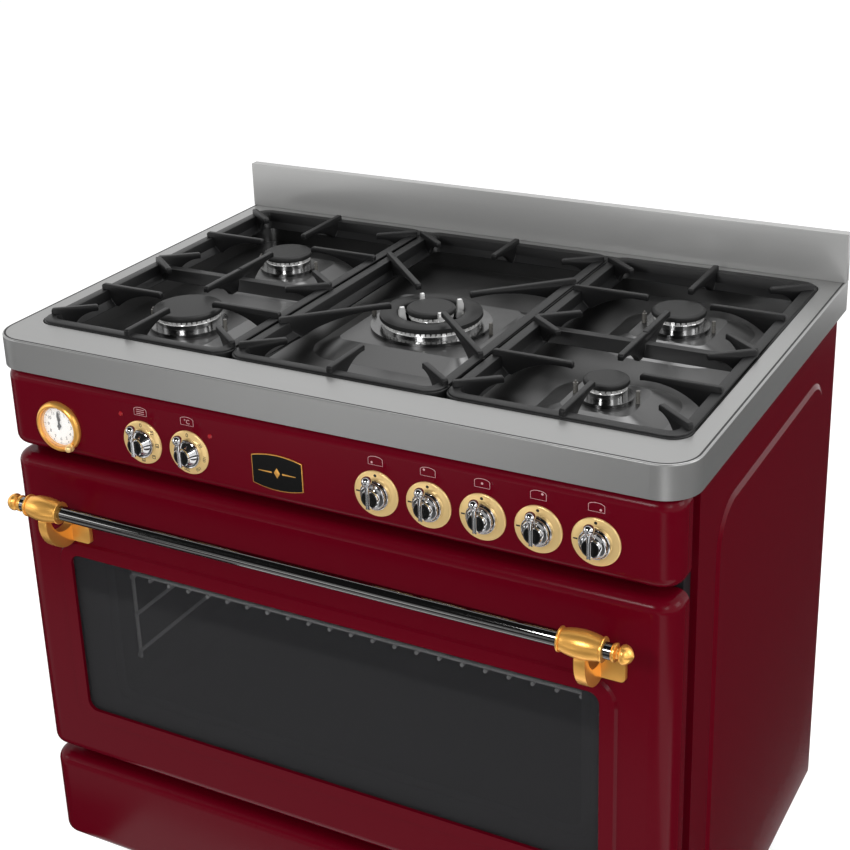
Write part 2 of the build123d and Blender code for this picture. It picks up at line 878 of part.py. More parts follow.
# Gas manifold: square rail under the valves, with the supply run to the inlet at the rear
rail_y = hob_front + rail_back
rail_z = knob_z - rail_drop
rail_start = gas_knobs[0] - valve_width
inlet_end = panel_rear
with BuildPart() as gas_manifold:
    with BuildSketch(slice_plane(rail_start)):
        with Locations((rail_y, rail_z)):
            Rectangle(2 * rail_radius, 2 * rail_radius)
    extrude(amount=inlet_x + 2 * rail_radius - rail_start)
    with BuildSketch(face_plane(rail_y)):
        with Locations((inlet_x, rail_z)):
            Circle(rail_radius)
    extrude(amount=rail_y - inlet_end + inlet_length)
    with BuildSketch(face_plane(inlet_end - inlet_length)):
        with Locations((inlet_x, rail_z)):
            Circle(inlet_radius)
    extrude(amount=-inlet_length)
    with BuildSketch(face_plane(inlet_end)):
        with Locations((inlet_x, rail_z)):
            Circle(rail_radius - sheet)
    extrude(amount=2 * inlet_length, mode=Mode.SUBTRACT)
save(gas_manifold.part, "gas_manifold")

# Gas pipes: one bent tube from each valve to its burner cup
pipe_start = fascia_front + valve_front + valve_length
cup_bottom = mound_top - cup_length
front_y = hob_front + front_row
rear_y = hob_front + rear_row
pipe_bays = [hob_front + row for row in pipe_bay_rows]
pipe_lanes = (pipe_lane_offsets[0] - side_burner_x, side_burner_x - pipe_lane_offsets[1])
pipe_routes = (
    ((gas_knobs[0], pipe_bays[0]), (-side_burner_x, pipe_bays[0]), (-side_burner_x, front_y)),
    (
        (gas_knobs[1], pipe_bays[1]),
        (pipe_lanes[0], pipe_bays[1]),
        (pipe_lanes[0], rear_y),
        (-side_burner_x, rear_y),
    ),
    ((gas_knobs[2], wok_y), (0, wok_y)),
    (
        (gas_knobs[3], pipe_start + 2 * pipe_bend),
        (pipe_lanes[1], pipe_start + 2 * pipe_bend),
        (pipe_lanes[1], rear_y),
        (side_burner_x, rear_y),
    ),
    ((gas_knobs[4], front_y), (side_burner_x, front_y)),
)
with BuildPart() as gas_pipes:
    for x, route in zip(gas_knobs, pipe_routes):
        points = [(x, pipe_start, knob_z)]
        points += [(px, py, knob_z) for px, py in route]
        points.append((*route[-1], cup_bottom))
        with BuildLine() as pipe_path:
            FilletPolyline(*points, radius=pipe_bend)
        with BuildSketch(face_plane(pipe_start)):
            with Locations((x, knob_z)):
                RegularPolygon(pipe_radius, 6)
        sweep(path=pipe_path.wires()[0])
save(gas_pipes.part, "gas_pipes")

# Oven controls: function switch and thermostat bodies behind the fascia
with BuildPart() as oven_controls:
    for x in oven_knob_x:
        with BuildSketch(face_plane(fascia_front + valve_front)):
            with Locations((x, knob_z)):
                Rectangle(control_body, control_body)
        extrude(amount=-control_depth)
        with BuildSketch(face_plane(fascia_front + sheet)):
            with Locations((x, knob_z)):
                Circle(valve_nose)
        extrude(amount=sheet - valve_front)
        with BuildSketch(face_plane(fascia_front + sheet)):
            with Locations((x, knob_z)):
                Circle(spindle_bore)
        extrude(amount=-spindle_depth, mode=Mode.SUBTRACT)
save(oven_controls.part, "oven_controls")

# Pilot lamps: two small domed lenses
with BuildPart() as pilot_lamps:
    for inset, drop in pilot_places:
        with BuildSketch(face_plane(fascia_front)):
            with Locations((inset - half_width, hob_height - drop)):
                Circle(pilot_radius)
        extrude(amount=pilot_radius / 2, taper=pilot_slope)
save(pilot_lamps.part, "pilot_lamps")

# Badge plate: plain barrel-shaped plate with a raised rim
badge_z = hob_height - badge_drop


def badge_shape(inset):
    """Barrel outline with bowed upper and lower sides."""
    half = badge_width / 2 - inset
    side = badge_height / 2 - badge_bow - inset
    with BuildSketch() as outline:
        with BuildLine():
            ThreePointArc((-half, side), (0, side + badge_bow), (half, side))
            Line((half, side), (half, -side))
            ThreePointArc((half, -side), (0, -side - badge_bow), (-half, -side))
            Line((-half, -side), (-half, side))
        make_face()
    return outline.sketch


with BuildPart() as badge_plate:
    with BuildSketch(face_plane(fascia_front)):
        with Locations((badge_x, badge_z)):
            add(badge_shape(0))
    extrude(amount=badge_thickness)
    with BuildSketch(face_plane(fascia_front - badge_thickness)):
        with Locations((badge_x, badge_z)):
            add(badge_shape(0))
            add(badge_shape(badge_rim), mode=Mode.SUBTRACT)
    extrude(amount=badge_rim_rise)
save(badge_plate.part, "badge_plate")

# Clock: brass case with its movement, dial, glass, two hands and a setting knob
clock_face = slice_plane(clock_x)
movement_out = -movement_depth
dial_out = movement_out + dial_thickness
hour_out = dial_out + panel_fit
minute_out = hour_out + hand_thickness + hand_gap
hub_radius = arbor_radius + running_fit + hub_wall
glass_seat = dial_radius + 2 * glass_play
glass_radius = glass_seat + clock_glass_lap
setting_swing = radians(setting_angle)
setting_offset = (clock_hole + clock_bezel) / 2 + lift_gap
setting_x = clock_x + setting_offset * cos(setting_swing)
setting_z = clock_z + setting_offset * sin(setting_swing)


def clock_point(out, radius):
    """Point of a turned clock section, by its distance out of the fascia and its radius."""
    return (fascia_front - out, clock_z + radius)


clock_axis = Axis((clock_x, 0, clock_z), (0, 1, 0))
with BuildPart() as clock_case:
    with BuildSketch(clock_face):
        Polygon(
            *[clock_point(out, clock_bezel - inset) for out, inset in clock_roll],
            clock_point(clock_rise, clock_bezel - clock_flat),
            clock_point(clock_rise, glass_radius + glass_play),
            clock_point(clock_glass_out, glass_radius + glass_play),
            clock_point(clock_glass_out, glass_seat),
            clock_point(movement_out, glass_seat),
            clock_point(movement_out, 0),
            clock_point(-clock_depth, 0),
            clock_point(-clock_depth, clock_hole),
            clock_point(0, clock_hole),
            clock_point(0, clock_bezel),
            align=None,
        )
    revolve(axis=clock_axis)
    with BuildSketch(face_plane(fascia_front - movement_out)):
        with Locations((clock_x, clock_z)):
            Circle(hub_radius + running_fit)
    extrude(amount=-hub_back, mode=Mode.SUBTRACT)
    with BuildSketch(face_plane(fascia_front - movement_out)):
        with Locations((clock_x, clock_z)):
            Circle(arbor_radius + running_fit)
    extrude(amount=-arbor_back - sheet, mode=Mode.SUBTRACT)
    with BuildSketch(face_plane(fascia_front - clock_rise)):
        with Locations((setting_x, setting_z)):
            Circle(setting_shaft + running_fit)
    extrude(amount=sheet - clock_rise, mode=Mode.SUBTRACT)
save(clock_case.part, "clock_case")

with BuildPart() as clock_dial:
    with BuildSketch(face_plane(fascia_front - movement_out)):
        with Locations((clock_x, clock_z)):
            Circle(dial_radius)
            Circle(hub_radius + lift_gap, mode=Mode.SUBTRACT)
    extrude(amount=dial_thickness)
save(clock_dial.part, "clock_dial")

with BuildPart() as clock_glass:
    with BuildSketch(face_plane(fascia_front - clock_glass_out)):
        with Locations((clock_x, clock_z)):
            Circle(glass_radius)
    extrude(amount=clock_glass_thickness)
save(clock_glass.part, "clock_glass")


def hand_shape(length, width):
    """Spade hand that points up from its hub."""
    with BuildSketch() as outline:
        Polygon(
            (0, length),
            (-width / 3, length * 0.86),
            (-width / 2, length * 0.62),
            (-width / 6, length * 0.45),
            (-width / 4, -length * 0.22),
            (width / 4, -length * 0.22),
            (width / 6, length * 0.45),
            (width / 2, length * 0.62),
            (width / 3, length * 0.86),
            align=None,
        )
    return outline.sketch


with BuildPart() as hour_hand:
    with BuildSketch(face_plane(fascia_front - hour_out)):
        with Locations((clock_x, clock_z)):
            add(hand_shape(hour_hand_length, hour_hand_width))
            Circle(hub_radius)
    extrude(amount=hand_thickness)
    with BuildSketch(face_plane(fascia_front - hour_out)):
        with Locations((clock_x, clock_z)):
            Circle(hub_radius)
    extrude(amount=movement_out - hour_out - hub_back + panel_fit)
    with BuildSketch(face_plane(fascia_front - hour_out - hand_thickness)):
        with Locations((clock_x, clock_z)):
            Circle(arbor_radius + running_fit)
    extrude(amount=-2 * arbor_back, mode=Mode.SUBTRACT)
save(hour_hand.part, "hour_hand")

with BuildPart() as minute_hand:
    with BuildSketch(face_plane(fascia_front - minute_out)):
        with Locations((clock_x, clock_z)):
            add(hand_shape(minute_hand_length, minute_hand_width))
            Circle(hub_radius)
    extrude(amount=hand_thickness)
    with BuildSketch(face_plane(fascia_front - minute_out)):
        with Locations((clock_x, clock_z)):
            Circle(arbor_radius)
    extrude(amount=movement_out - minute_out - arbor_back)
save(minute_hand.part, "minute_hand")

with BuildPart() as clock_knob:
    with BuildSketch(face_plane(fascia_front - sheet - lift_gap)):
        with Locations((setting_x, setting_z)):
            Circle(setting_shaft)
    extrude(amount=clock_rise - sheet)
    with BuildSketch(face_plane(fascia_front - clock_rise - lift_gap)):
        with Locations((setting_x, setting_z)):
            Circle(setting_knob_radius)
    extrude(amount=setting_knob_rise / 2)
    setting_ball = Plane(
        origin=(setting_x, fascia_front - clock_rise - setting_knob_rise, setting_z),
        x_dir=(1, 0, 0),
        z_dir=(0, 0, 1),
    )
    setting_axis = Axis((setting_x, 0, setting_z), (0, 1, 0))
    revolve(ball_section(setting_ball, setting_knob_radius - lift_gap), axis=setting_axis)
save(clock_knob.part, "clock_knob")

# Oven cavity: enamelled muffle with its front frame, the opening behind the fascia and the hinge ears
frame_half = body_half - frame_inset
frame_top = fascia_top - frame_top_gap
frame_mid = (frame_bottom + frame_top) / 2
control_opening = (2 * (frame_half - frame_border), frame_top - fascia_bottom - frame_lintel - frame_sill)
ear_x = hinge_x + hinge_thickness / 2 + panel_fit
ear_radius = pin_radius + ear_wall
ear_root_y = frame_front - pivot_y
with BuildPart() as oven_cavity:
    with BuildSketch(face_plane(frame_front)):
        with Locations((0, cavity_mid)):
            RectangleRounded(cavity_width + 2 * sheet, cavity_height + 2 * sheet, cavity_corner + sheet)
    extrude(amount=-cavity_depth - 2 * sheet)
    with BuildSketch(face_plane(frame_front)):
        with Locations((0, frame_mid)):
            Rectangle(2 * frame_half, frame_top - frame_bottom)
    extrude(amount=-sheet)
    with BuildSketch(face_plane(frame_front)):
        with Locations((sheet / 2 - frame_half, frame_mid), (frame_half - sheet / 2, frame_mid)):
            Rectangle(sheet, frame_top - frame_bottom)
    extrude(amount=-frame_reach)
    with BuildSketch(face_plane(frame_front)):
        with Locations((0, cavity_mid)):
            RectangleRounded(cavity_width, cavity_height, cavity_corner)
        with Locations((0, frame_top - frame_lintel)):
            Rectangle(*control_opening, align=(Align.CENTER, Align.MAX))
    extrude(amount=-cavity_depth - sheet, mode=Mode.SUBTRACT)
    with BuildSketch(face_plane(cavity_back)):
        with Locations((0, cavity_mid)):
            Circle(shaft_radius + lift_gap)
    extrude(amount=-2 * sheet, mode=Mode.SUBTRACT)
    for ear_start in (ear_x, -ear_x - ear_thickness):
        with BuildSketch(slice_plane(ear_start)):
            with Locations((pivot_y, pivot_z)):
                Circle(ear_radius)
                Polygon(
                    (-ear_radius, 0),
                    (-ear_lean, ear_rise),
                    (ear_root_y, frame_hinge_clear + ear_root),
                    (ear_root_y, frame_hinge_clear),
                    (ear_radius * cos(pi / 4), -ear_radius * sin(pi / 4)),
                    align=None,
                )
                Circle(pin_radius + running_fit, mode=Mode.SUBTRACT)
        extrude(amount=ear_thickness)
save(oven_cavity.part, "oven_cavity")

# Oven seal: gasket on the frame round the oven mouth
liner_back = door_front + door_depth - liner_setback
seal_grow = 2 * seal_offset
with BuildPart() as oven_seal:
    with BuildSketch(face_plane(frame_front)):
        with Locations((0, cavity_mid)):
            RectangleRounded(
                cavity_width + seal_grow + 2 * seal_width,
                cavity_height + seal_grow + 2 * seal_width,
                cavity_corner + seal_width,
            )
            RectangleRounded(
                cavity_width + seal_grow, cavity_height + seal_grow, cavity_corner, mode=Mode.SUBTRACT
            )
    extrude(amount=frame_front - liner_back - lift_gap)
save(oven_seal.part, "oven_seal")

# Fan cover: baffle with a ring of intake slots, stood off the rear wall on folded sides
cover_front = cavity_back - fan_cover_gap
fan_cover_height = cavity_height - 2 * fan_cover_margin
louvre_x = fan_cover_width / 2 - louvre_inset
louvre_pitch = fan_cover_height / (louvre_count + 2)
with BuildPart() as fan_cover:
    with BuildSketch(face_plane(cavity_back)):
        with Locations((0, cavity_mid)):
            RectangleRounded(fan_cover_width, fan_cover_height, cavity_corner)
    extrude(amount=fan_cover_gap)
    with BuildSketch(face_plane(cavity_back)):
        with Locations((0, cavity_mid)):
            RectangleRounded(fan_cover_width - 2 * sheet, fan_cover_height - 2 * sheet, cavity_corner - sheet)
    extrude(amount=fan_cover_gap - sheet, mode=Mode.SUBTRACT)
    with BuildSketch(face_plane(cover_front)):
        with Locations((0, cavity_mid)):
            with PolarLocations(intake_inner + intake_length / 2, intake_slots):
                Rectangle(intake_length, intake_width)
        for side in (-1, 1):
            with Locations((side * louvre_x, cavity_mid)):
                with GridLocations(0, louvre_pitch, 1, louvre_count):
                    Rectangle(louvre_width, louvre_height)
    extrude(amount=-2 * sheet, mode=Mode.SUBTRACT)
save(fan_cover.part, "fan_cover")

# Fan wheel and its motor behind the rear wall
motor_front = cavity_back + sheet
with BuildPart() as fan_wheel:
    with BuildSketch(face_plane(cavity_back - wheel_gap)):
        with Locations((0, cavity_mid)):
            Circle(fan_radius)
    extrude(amount=sheet)
    with BuildSketch(face_plane(cavity_back - wheel_gap - sheet)):
        with Locations((0, cavity_mid)):
            with PolarLocations(fan_radius - blade_inset - blade_length / 2, fan_blades):
                Rectangle(blade_length, sheet, rotation=blade_turn)
    extrude(amount=fan_depth - sheet)
    with BuildSketch(face_plane(cavity_back - wheel_gap - sheet)):
        with Locations((0, cavity_mid)):
            Circle(fan_hub)
    extrude(amount=fan_depth / 2)
    with BuildSketch(face_plane(cavity_back - wheel_gap)):
        with Locations((0, cavity_mid)):
            Circle(shaft_radius)
    extrude(amount=-wheel_gap - sheet - shaft_depth)
save(fan_wheel.part, "fan_wheel")

with BuildPart() as fan_motor:
    with BuildSketch(face_plane(motor_front)):
        with Locations((0, cavity_mid)):
            RegularPolygon(motor_neck, motor_sides)
    extrude(amount=-motor_length)
    with BuildSketch(face_plane(motor_front + motor_standoff)):
        with Locations((0, cavity_mid)):
            RegularPolygon(motor_radius, motor_sides)
    extrude(amount=-motor_length / 2)
    with BuildSketch(face_plane(motor_front)):
        with Locations((0, cavity_mid)):
            Rectangle(*motor_strap)
    extrude(amount=-2 * sheet)
    with BuildSketch(face_plane(motor_front)):
        with Locations((0, cavity_mid)):
            Circle(shaft_radius + running_fit)
    extrude(amount=-shaft_depth - shaft_room, mode=Mode.SUBTRACT)
save(fan_motor.part, "fan_motor")

# Heating elements: ring round the fan, grill under the roof and a loop under the floor
ring_y = cavity_back - fan_cover_gap / 2
grill_z = cavity_floor + cavity_height - grill_drop
grill_y = frame_front + grill_front_gap
grill_turn = cavity_back - grill_rear_gap
grill_span = cavity_width - 2 * grill_side_gap
under_z = cavity_floor - sheet - element_radius * cos(radians(30))
loop_half = cavity_width / 2 - loop_side_gap
loop_front = frame_front + loop_front_gap
grill_points = []
for leg in range(grill_legs):
    leg_x = grill_span * (leg / (grill_legs - 1) - 0.5)
    rear_end = cavity_back if leg in (0, grill_legs - 1) else grill_turn
    ends = (rear_end, grill_y) if leg % 2 == 0 else (grill_y, rear_end)
    grill_points += [(leg_x, end, grill_z) for end in ends]
with BuildPart() as heating_elements:
    with BuildSketch(slice_plane(0)):
        with Locations((ring_y, cavity_mid + ring_element_radius)):
            RegularPolygon(element_radius, 6)
    revolve(axis=Axis((0, 0, cavity_mid), (0, 1, 0)))
    with BuildSketch(face_plane(ring_y)):
        tail_z = cavity_mid - ring_element_radius
        with Locations((-ring_tail, tail_z), (ring_tail, tail_z)):
            RegularPolygon(element_radius, 6)
    extrude(amount=ring_y - cavity_back)
    with BuildLine() as grill_path:
        FilletPolyline(*grill_points, radius=pipe_bend)
    with BuildSketch(face_plane(cavity_back)):
        with Locations((grill_points[0][0], grill_z)):
            RegularPolygon(element_radius, 6)
    sweep(path=grill_path.wires()[0])
    with BuildLine() as loop_path:
        FilletPolyline(
            (-loop_half, grill_turn, under_z),
            (-loop_half, loop_front, under_z),
            (loop_half, loop_front, under_z),
            (loop_half, grill_turn, under_z),
            radius=2 * pipe_bend,
        )
    with BuildSketch(face_plane(grill_turn)):
        with Locations((-loop_half, under_z)):
            RegularPolygon(element_radius, 6)
    sweep(path=loop_path.wires()[0])
save(heating_elements.part, "heating_elements")

# Oven lamp: round lens on the rear wall
lamp_place = (lamp_side_gap - cavity_width / 2, cavity_floor + cavity_height - lamp_drop)
with BuildPart() as oven_lamp:
    with BuildSketch(face_plane(cavity_back)):
        with Locations(lamp_place):
            Circle(lamp_radius)
    extrude(amount=lamp_radius / 3)
    chamfer(oven_lamp.faces().sort_by(Axis.Y)[0].edges(), lamp_radius / 5)
save(oven_lamp.part, "oven_lamp")

# Shelf rails: a wire ladder on each side wall
wire_flat = wire_radius * cos(radians(30))
shelf_z = hob_height - shelf_drop
shelf_front = frame_front + shelf_setback
shelf_rear = cover_front - shelf_rear_gap
rail_x = cavity_width / 2 - rail_wall_gap
rail_posts = (shelf_front + rail_post_gaps[0], shelf_rear - rail_post_gaps[1])
rail_level_z = [shelf_z - 2 * wire_flat + rail_pitch * (i - rail_levels // 2) for i in range(rail_levels)]
rail_bottom = rail_level_z[0] - rail_post_tail
rail_top = rail_level_z[-1] + rail_post_tail
with BuildPart() as shelf_rails:
    for side in (-1, 1):
        post_x = side * (rail_x + 2 * wire_flat)
        for post_y in rail_posts:
            with BuildSketch(floor_plane(post_x, post_y, rail_bottom)):
                RegularPolygon(wire_radius, 6)
            extrude(amount=rail_top - rail_bottom)
            for stud_z in (rail_bottom + wire_radius, rail_top - wire_radius):
                with BuildSketch(slice_plane(post_x)):
                    with Locations((post_y, stud_z)):
                        RegularPolygon(wire_radius, 6)
                extrude(amount=side * (cavity_width / 2 - abs(post_x)))
        for level in rail_level_z:
            with BuildSketch(face_plane(rail_posts[0] - rail_overhang)):
                with Locations((side * rail_x, level)):
                    RegularPolygon(wire_radius, 6)
            extrude(amount=rail_posts[0] - rail_posts[1] - 2 * rail_overhang)
save(shelf_rails.part, "shelf_rails")

# Wire shelf: frame of four wires and the bars across it
shelf_half = rail_x - wire_radius
with BuildPart() as wire_shelf:
    for bar in range(shelf_bars):
        bar_x = shelf_half * (2 * bar / (shelf_bars - 1) - 1)
        with BuildSketch(face_plane(shelf_front)):
            with Locations((bar_x, shelf_z)):
                RegularPolygon(wire_radius, 6)
        extrude(amount=shelf_front - shelf_rear)
    for bar_y, bar_z in (
        (shelf_front + shelf_end_gap, shelf_z + shelf_overlap * wire_flat),
        ((shelf_front + shelf_rear) / 2, shelf_z),
        (shelf_rear - shelf_end_gap, shelf_z),
    ):
        with BuildSketch(slice_plane(-shelf_half - wire_radius)):
            with Locations((bar_y, bar_z)):
                RegularPolygon(wire_radius, 6)
        extrude(amount=2 * (shelf_half + wire_radius))
save(wire_shelf.part, "wire_shelf")

# Oven door: enamelled outer panel with a raised window surround
with BuildPart() as door_panel:
    add(front_shell(door_top, door_bottom, door_front, door_depth))
    with BuildSketch(face_plane(door_front)):
        with Locations((0, window_z)):
            RectangleRounded(
                window_width + 2 * window_border,
                window_height + 2 * window_border,
                window_corner + window_border,
            )
    extrude(amount=window_rise, taper=window_slope)
    with BuildSketch(face_plane(door_front - window_rise)):
        with Locations((0, window_z)):
            RectangleRounded(window_width, window_height, window_corner)
    extrude(amount=-window_rise - sheet, mode=Mode.SUBTRACT)
save(door_panel.part, "door_panel")

# Door glasses and the inner liner
with BuildPart() as door_glass:
    with BuildSketch(face_plane(door_front + sheet)):
        with Locations((0, window_z)):
            RectangleRounded(window_width + 2 * glass_lap, window_height + 2 * glass_lap, window_corner)
    extrude(amount=-glass_thickness)
save(door_glass.part, "door_glass")

liner_half = body_half - liner_inset
liner_bottom = pivot_z + liner_pivot_gap
liner_top = door_top - front_edge
liner_window = (window_width - 2 * liner_window_inset, window_height - liner_window_inset)
with BuildPart() as door_liner:
    with BuildSketch(face_plane(door_front + sheet)):
        with Locations((0, (liner_bottom + liner_top) / 2)):
            RectangleRounded(2 * liner_half, liner_top - liner_bottom, window_corner)
    extrude(amount=door_front + sheet - liner_back)
    offset(amount=-sheet, openings=door_liner.faces().sort_by(Axis.Y)[0])
    with BuildSketch(face_plane(liner_back)):
        with Locations((0, window_z)):
            RectangleRounded(*liner_window, window_corner)
    extrude(amount=2 * sheet, mode=Mode.SUBTRACT)
save(door_liner.part, "door_liner")

with BuildPart() as inner_glass:
    with BuildSketch(face_plane(liner_back - sheet)):
        with Locations((0, window_z)):
            RectangleRounded(liner_window[0] + 2 * glass_lap, liner_window[1] + 2 * glass_lap, window_corner)
    extrude(amount=glass_thickness)
save(inner_glass.part, "inner_glass")

# Door hinges: an arm on each side with the pivot pin that runs in the frame's ear
with BuildPart() as door_hinges:
    for arm_start, pin_start, out in (
        (hinge_x - hinge_thickness / 2, hinge_x, 1),
        (-hinge_x - hinge_thickness / 2, -hinge_x, -1),
    ):
        with BuildSketch(slice_plane(arm_start)):
            with Locations((pivot_y, pivot_z)):
                Circle(ear_radius)
                Polygon(
                    (ear_radius, 0),
                    (ear_radius - ear_thickness, hinge_root),
                    (hinge_toe, hinge_length),
                    (door_front + sheet - pivot_y, hinge_length),
                    (door_front + sheet - pivot_y, hinge_heel),
                    (-ear_radius * cos(pi / 4), -ear_radius * sin(pi / 4)),
                    align=None,
                )
        extrude(amount=hinge_thickness)
        with BuildSketch(slice_plane(pin_start)):
            with Locations((pivot_y, pivot_z)):
                Circle(pin_radius)
        extrude(amount=out * (ear_x + ear_thickness + pin_proud - hinge_x))
save(door_hinges.part, "door_hinges")

# Handle: bar, brass brackets with a barrel and a swan-neck arm, and brass end finials
bar_half = barrel_x + barrel_length / 2 + bar_overhang
handle_axis = Axis((0, handle_y, handle_z), (1, 0, 0))
with BuildPart() as handle_bar:
    with BuildSketch(slice_plane(-bar_half)):
        with Locations((handle_y, handle_z)):
            Circle(bar_radius)
    extrude(amount=2 * bar_half)
save(handle_bar.part, "handle_bar")

neck_inner = ((-1, -11), (2.5, -23), (10, -34), (23, -39.5), (handle_out, -foot_plate_top))
neck_outer = (
    (handle_out, -foot_plate_top - foot_plate_height),
    (26, -62.5),
    (10, -56),
    (-2, -43),
    (-7.5, -28),
    (-7, -11),
)
bore = bar_radius + running_fit
with BuildPart() as handle_brackets:
    for centre in (-barrel_x, barrel_x):
        with BuildSketch(Plane(origin=(centre, handle_y, handle_z), x_dir=(1, 0, 0), z_dir=(0, -1, 0))):
            end = barrel_length / 2
            flange = end - barrel_flange_width
            with BuildLine():
                bulge = ThreePointArc((-flange, barrel_end), (0, barrel_radius), (flange, barrel_end))
                Polyline(
                    bulge @ 1,
                    (flange, barrel_flange),
                    (end, barrel_flange),
                    (end, bore),
                    (-end, bore),
                    (-end, barrel_flange),
                    (-flange, barrel_flange),
                    bulge @ 0,
                )
            make_face()
        revolve(axis=handle_axis)
        with BuildSketch(Plane(origin=(centre, handle_y, handle_z), x_dir=(0, 1, 0), z_dir=(1, 0, 0))):
            with BuildLine():
                inner = Spline(*neck_inner)
                outer = Spline(*neck_outer)
                Line(inner @ 1, outer @ 0)
                Line(outer @ 1, inner @ 0)
            make_face()
        extrude(amount=arm_width / 2, both=True)
        with BuildSketch(face_plane(door_front)) as foot_plate:
            with Locations((centre - arm_width / 2, handle_z - foot_plate_top)):
                Rectangle(
                    foot_plate_reach + arm_width / 2, foot_plate_height, align=(Align.MIN, Align.MAX)
                )
            fillet(foot_plate.vertices().group_by(Axis.X)[-1], foot_plate_corner)
        extrude(amount=foot_plate_thickness, taper=foot_plate_draft)
save(handle_brackets.part, "handle_brackets")

dome_start = finial_ring_width + finial_waist
dome_swing = [pi / 2 * step / 4 for step in range(5)]
dome_curve = [(dome_start + finial_dome_length * sin(t), finial_dome * cos(t)) for t in dome_swing]
with BuildPart() as handle_finials:
    for side in (-1, 1):
        bar_end = (side * bar_half, handle_y, handle_z)
        with BuildSketch(Plane(origin=bar_end, x_dir=(side, 0, 0), z_dir=(0, -side, 0))):
            Polygon(
                (0, 0),
                (0, finial_ring),
                (finial_ring_width, finial_ring),
                (finial_ring_width, finial_neck),
                (dome_start, finial_neck),
                *dome_curve,
                align=None,
            )
        revolve(axis=handle_axis)
save(handle_finials.part, "handle_finials")

# Side panels: pressed sheets with a raised field and folded edges
panel_top = hob_height - sheet
panel_length = panel_rear - panel_front
field_front = panel_front + field_margin_front
field_rear = panel_rear - field_margin_rear
field_top = hob_height - field_drop
field_bottom = foot_height + field_rise_bottom
field_mid = ((field_front + field_rear) / 2, (field_top + field_bottom) / 2)
for side, panel_name in ((-1, "side_panel_left"), (1, "side_panel_right")):
    with BuildPart() as side_panel:
        with BuildSketch(slice_plane(side * body_half)):
            with Locations((panel_front, foot_height)):
                Rectangle(panel_length, panel_top - foot_height, align=(Align.MIN, Align.MIN))
        extrude(amount=-side * panel_flange)
        with BuildSketch(slice_plane(side * (body_half - sheet))):
            with Locations((panel_front + sheet, foot_height + sheet)):
                Rectangle(panel_length - 2 * sheet, panel_top - foot_height, align=(Align.MIN, Align.MIN))
        extrude(amount=-side * panel_flange, mode=Mode.SUBTRACT)
        with BuildSketch(slice_plane(side * (body_half - sheet))):
            with Locations((panel_front, rim_bottom)):
                Rectangle(panel_length, rim_height, align=(Align.MIN, Align.MIN))
        extrude(amount=-side * panel_flange, mode=Mode.SUBTRACT)
        with BuildSketch(slice_plane(side * body_half)):
            with Locations(field_mid):
                RectangleRounded(field_rear - field_front, field_top - field_bottom, field_corner)
        extrude(amount=side * field_rise, taper=field_slope)
        with BuildSketch(slice_plane(side * (body_half - sheet))):
            with Locations(field_mid):
                RectangleRounded(field_rear - field_front, field_top - field_bottom, field_corner)
        extrude(amount=side * field_rise, taper=field_slope, mode=Mode.SUBTRACT)
    save(side_panel.part, panel_name)

# Base pan with the two drawer rails folded up from it
pan_z = foot_height + sheet
pan_half = body_half - sheet - panel_fit
drawer_width = range_width - 2 * drawer_side
drawer_floor = drawer_bottom + drawer_floor_gap
drawer_rim = drawer_top - drawer_headroom
runner_top = drawer_rim - sheet - lift_gap
rail_wall_x = drawer_width / 2 + drawer_lip + rail_clear
pan_front = panel_front + sheet + panel_fit
pan_rear = panel_rear - sheet - panel_fit
with BuildPart() as base_pan:
    with BuildSketch(Plane.XY.offset(pan_z)):
        with Locations((0, (pan_front + pan_rear) / 2)):
            Rectangle(2 * pan_half, pan_rear - pan_front)
    extrude(amount=sheet)
    for side in (-1, 1):
        with BuildSketch(face_plane(pan_front)):
            with Locations((side * rail_wall_x, pan_z)):
                Rectangle(sheet, runner_top - pan_z, align=(Align.CENTER, Align.MIN))
            with Locations((side * (rail_wall_x - rail_shelf / 2), runner_top)):
                Rectangle(rail_shelf, sheet, align=(Align.CENTER, Align.MAX))
        extrude(amount=pan_front - rear_face + rail_rear_gap)
save(base_pan.part, "base_pan")

# Rear panel: recessed sheet with vent slots, the inlet opening and the terminal cover
pan_top = pan_z + sheet
rear_half = body_half - sheet - panel_fit
rear_top = rim_bottom - rear_top_gap
terminal_place = (terminal_inset - half_width, terminal_height)
with BuildPart() as rear_panel:
    with BuildSketch(face_plane(rear_face)):
        with Locations((0, pan_top)):
            Rectangle(2 * rear_half, rear_top - pan_top, align=(Align.CENTER, Align.MIN))
    extrude(amount=-sheet)
    for side in (-1, 1):
        with BuildSketch(face_plane(rear_face)):
            with Locations((side * (rear_half - sheet / 2), pan_top)):
                Rectangle(sheet, rear_top - pan_top, align=(Align.CENTER, Align.MIN))
        extrude(amount=rear_face - panel_rear + sheet)
    with BuildSketch(face_plane(rear_face)):
        with Locations(terminal_place):
            Rectangle(*terminal_size)
    extrude(amount=-terminal_depth)
    with BuildSketch(face_plane(rear_face)):
        with Locations((inlet_x, rail_z)):
            Circle(inlet_radius + inlet_clear)
        with Locations((0, rear_top - vent_drop)):
            with GridLocations(vent_pitch, 0, vent_count, 1):
                Rectangle(vent_width, vent_height)
    extrude(amount=-2 * sheet, mode=Mode.SUBTRACT)
save(rear_panel.part, "rear_panel")

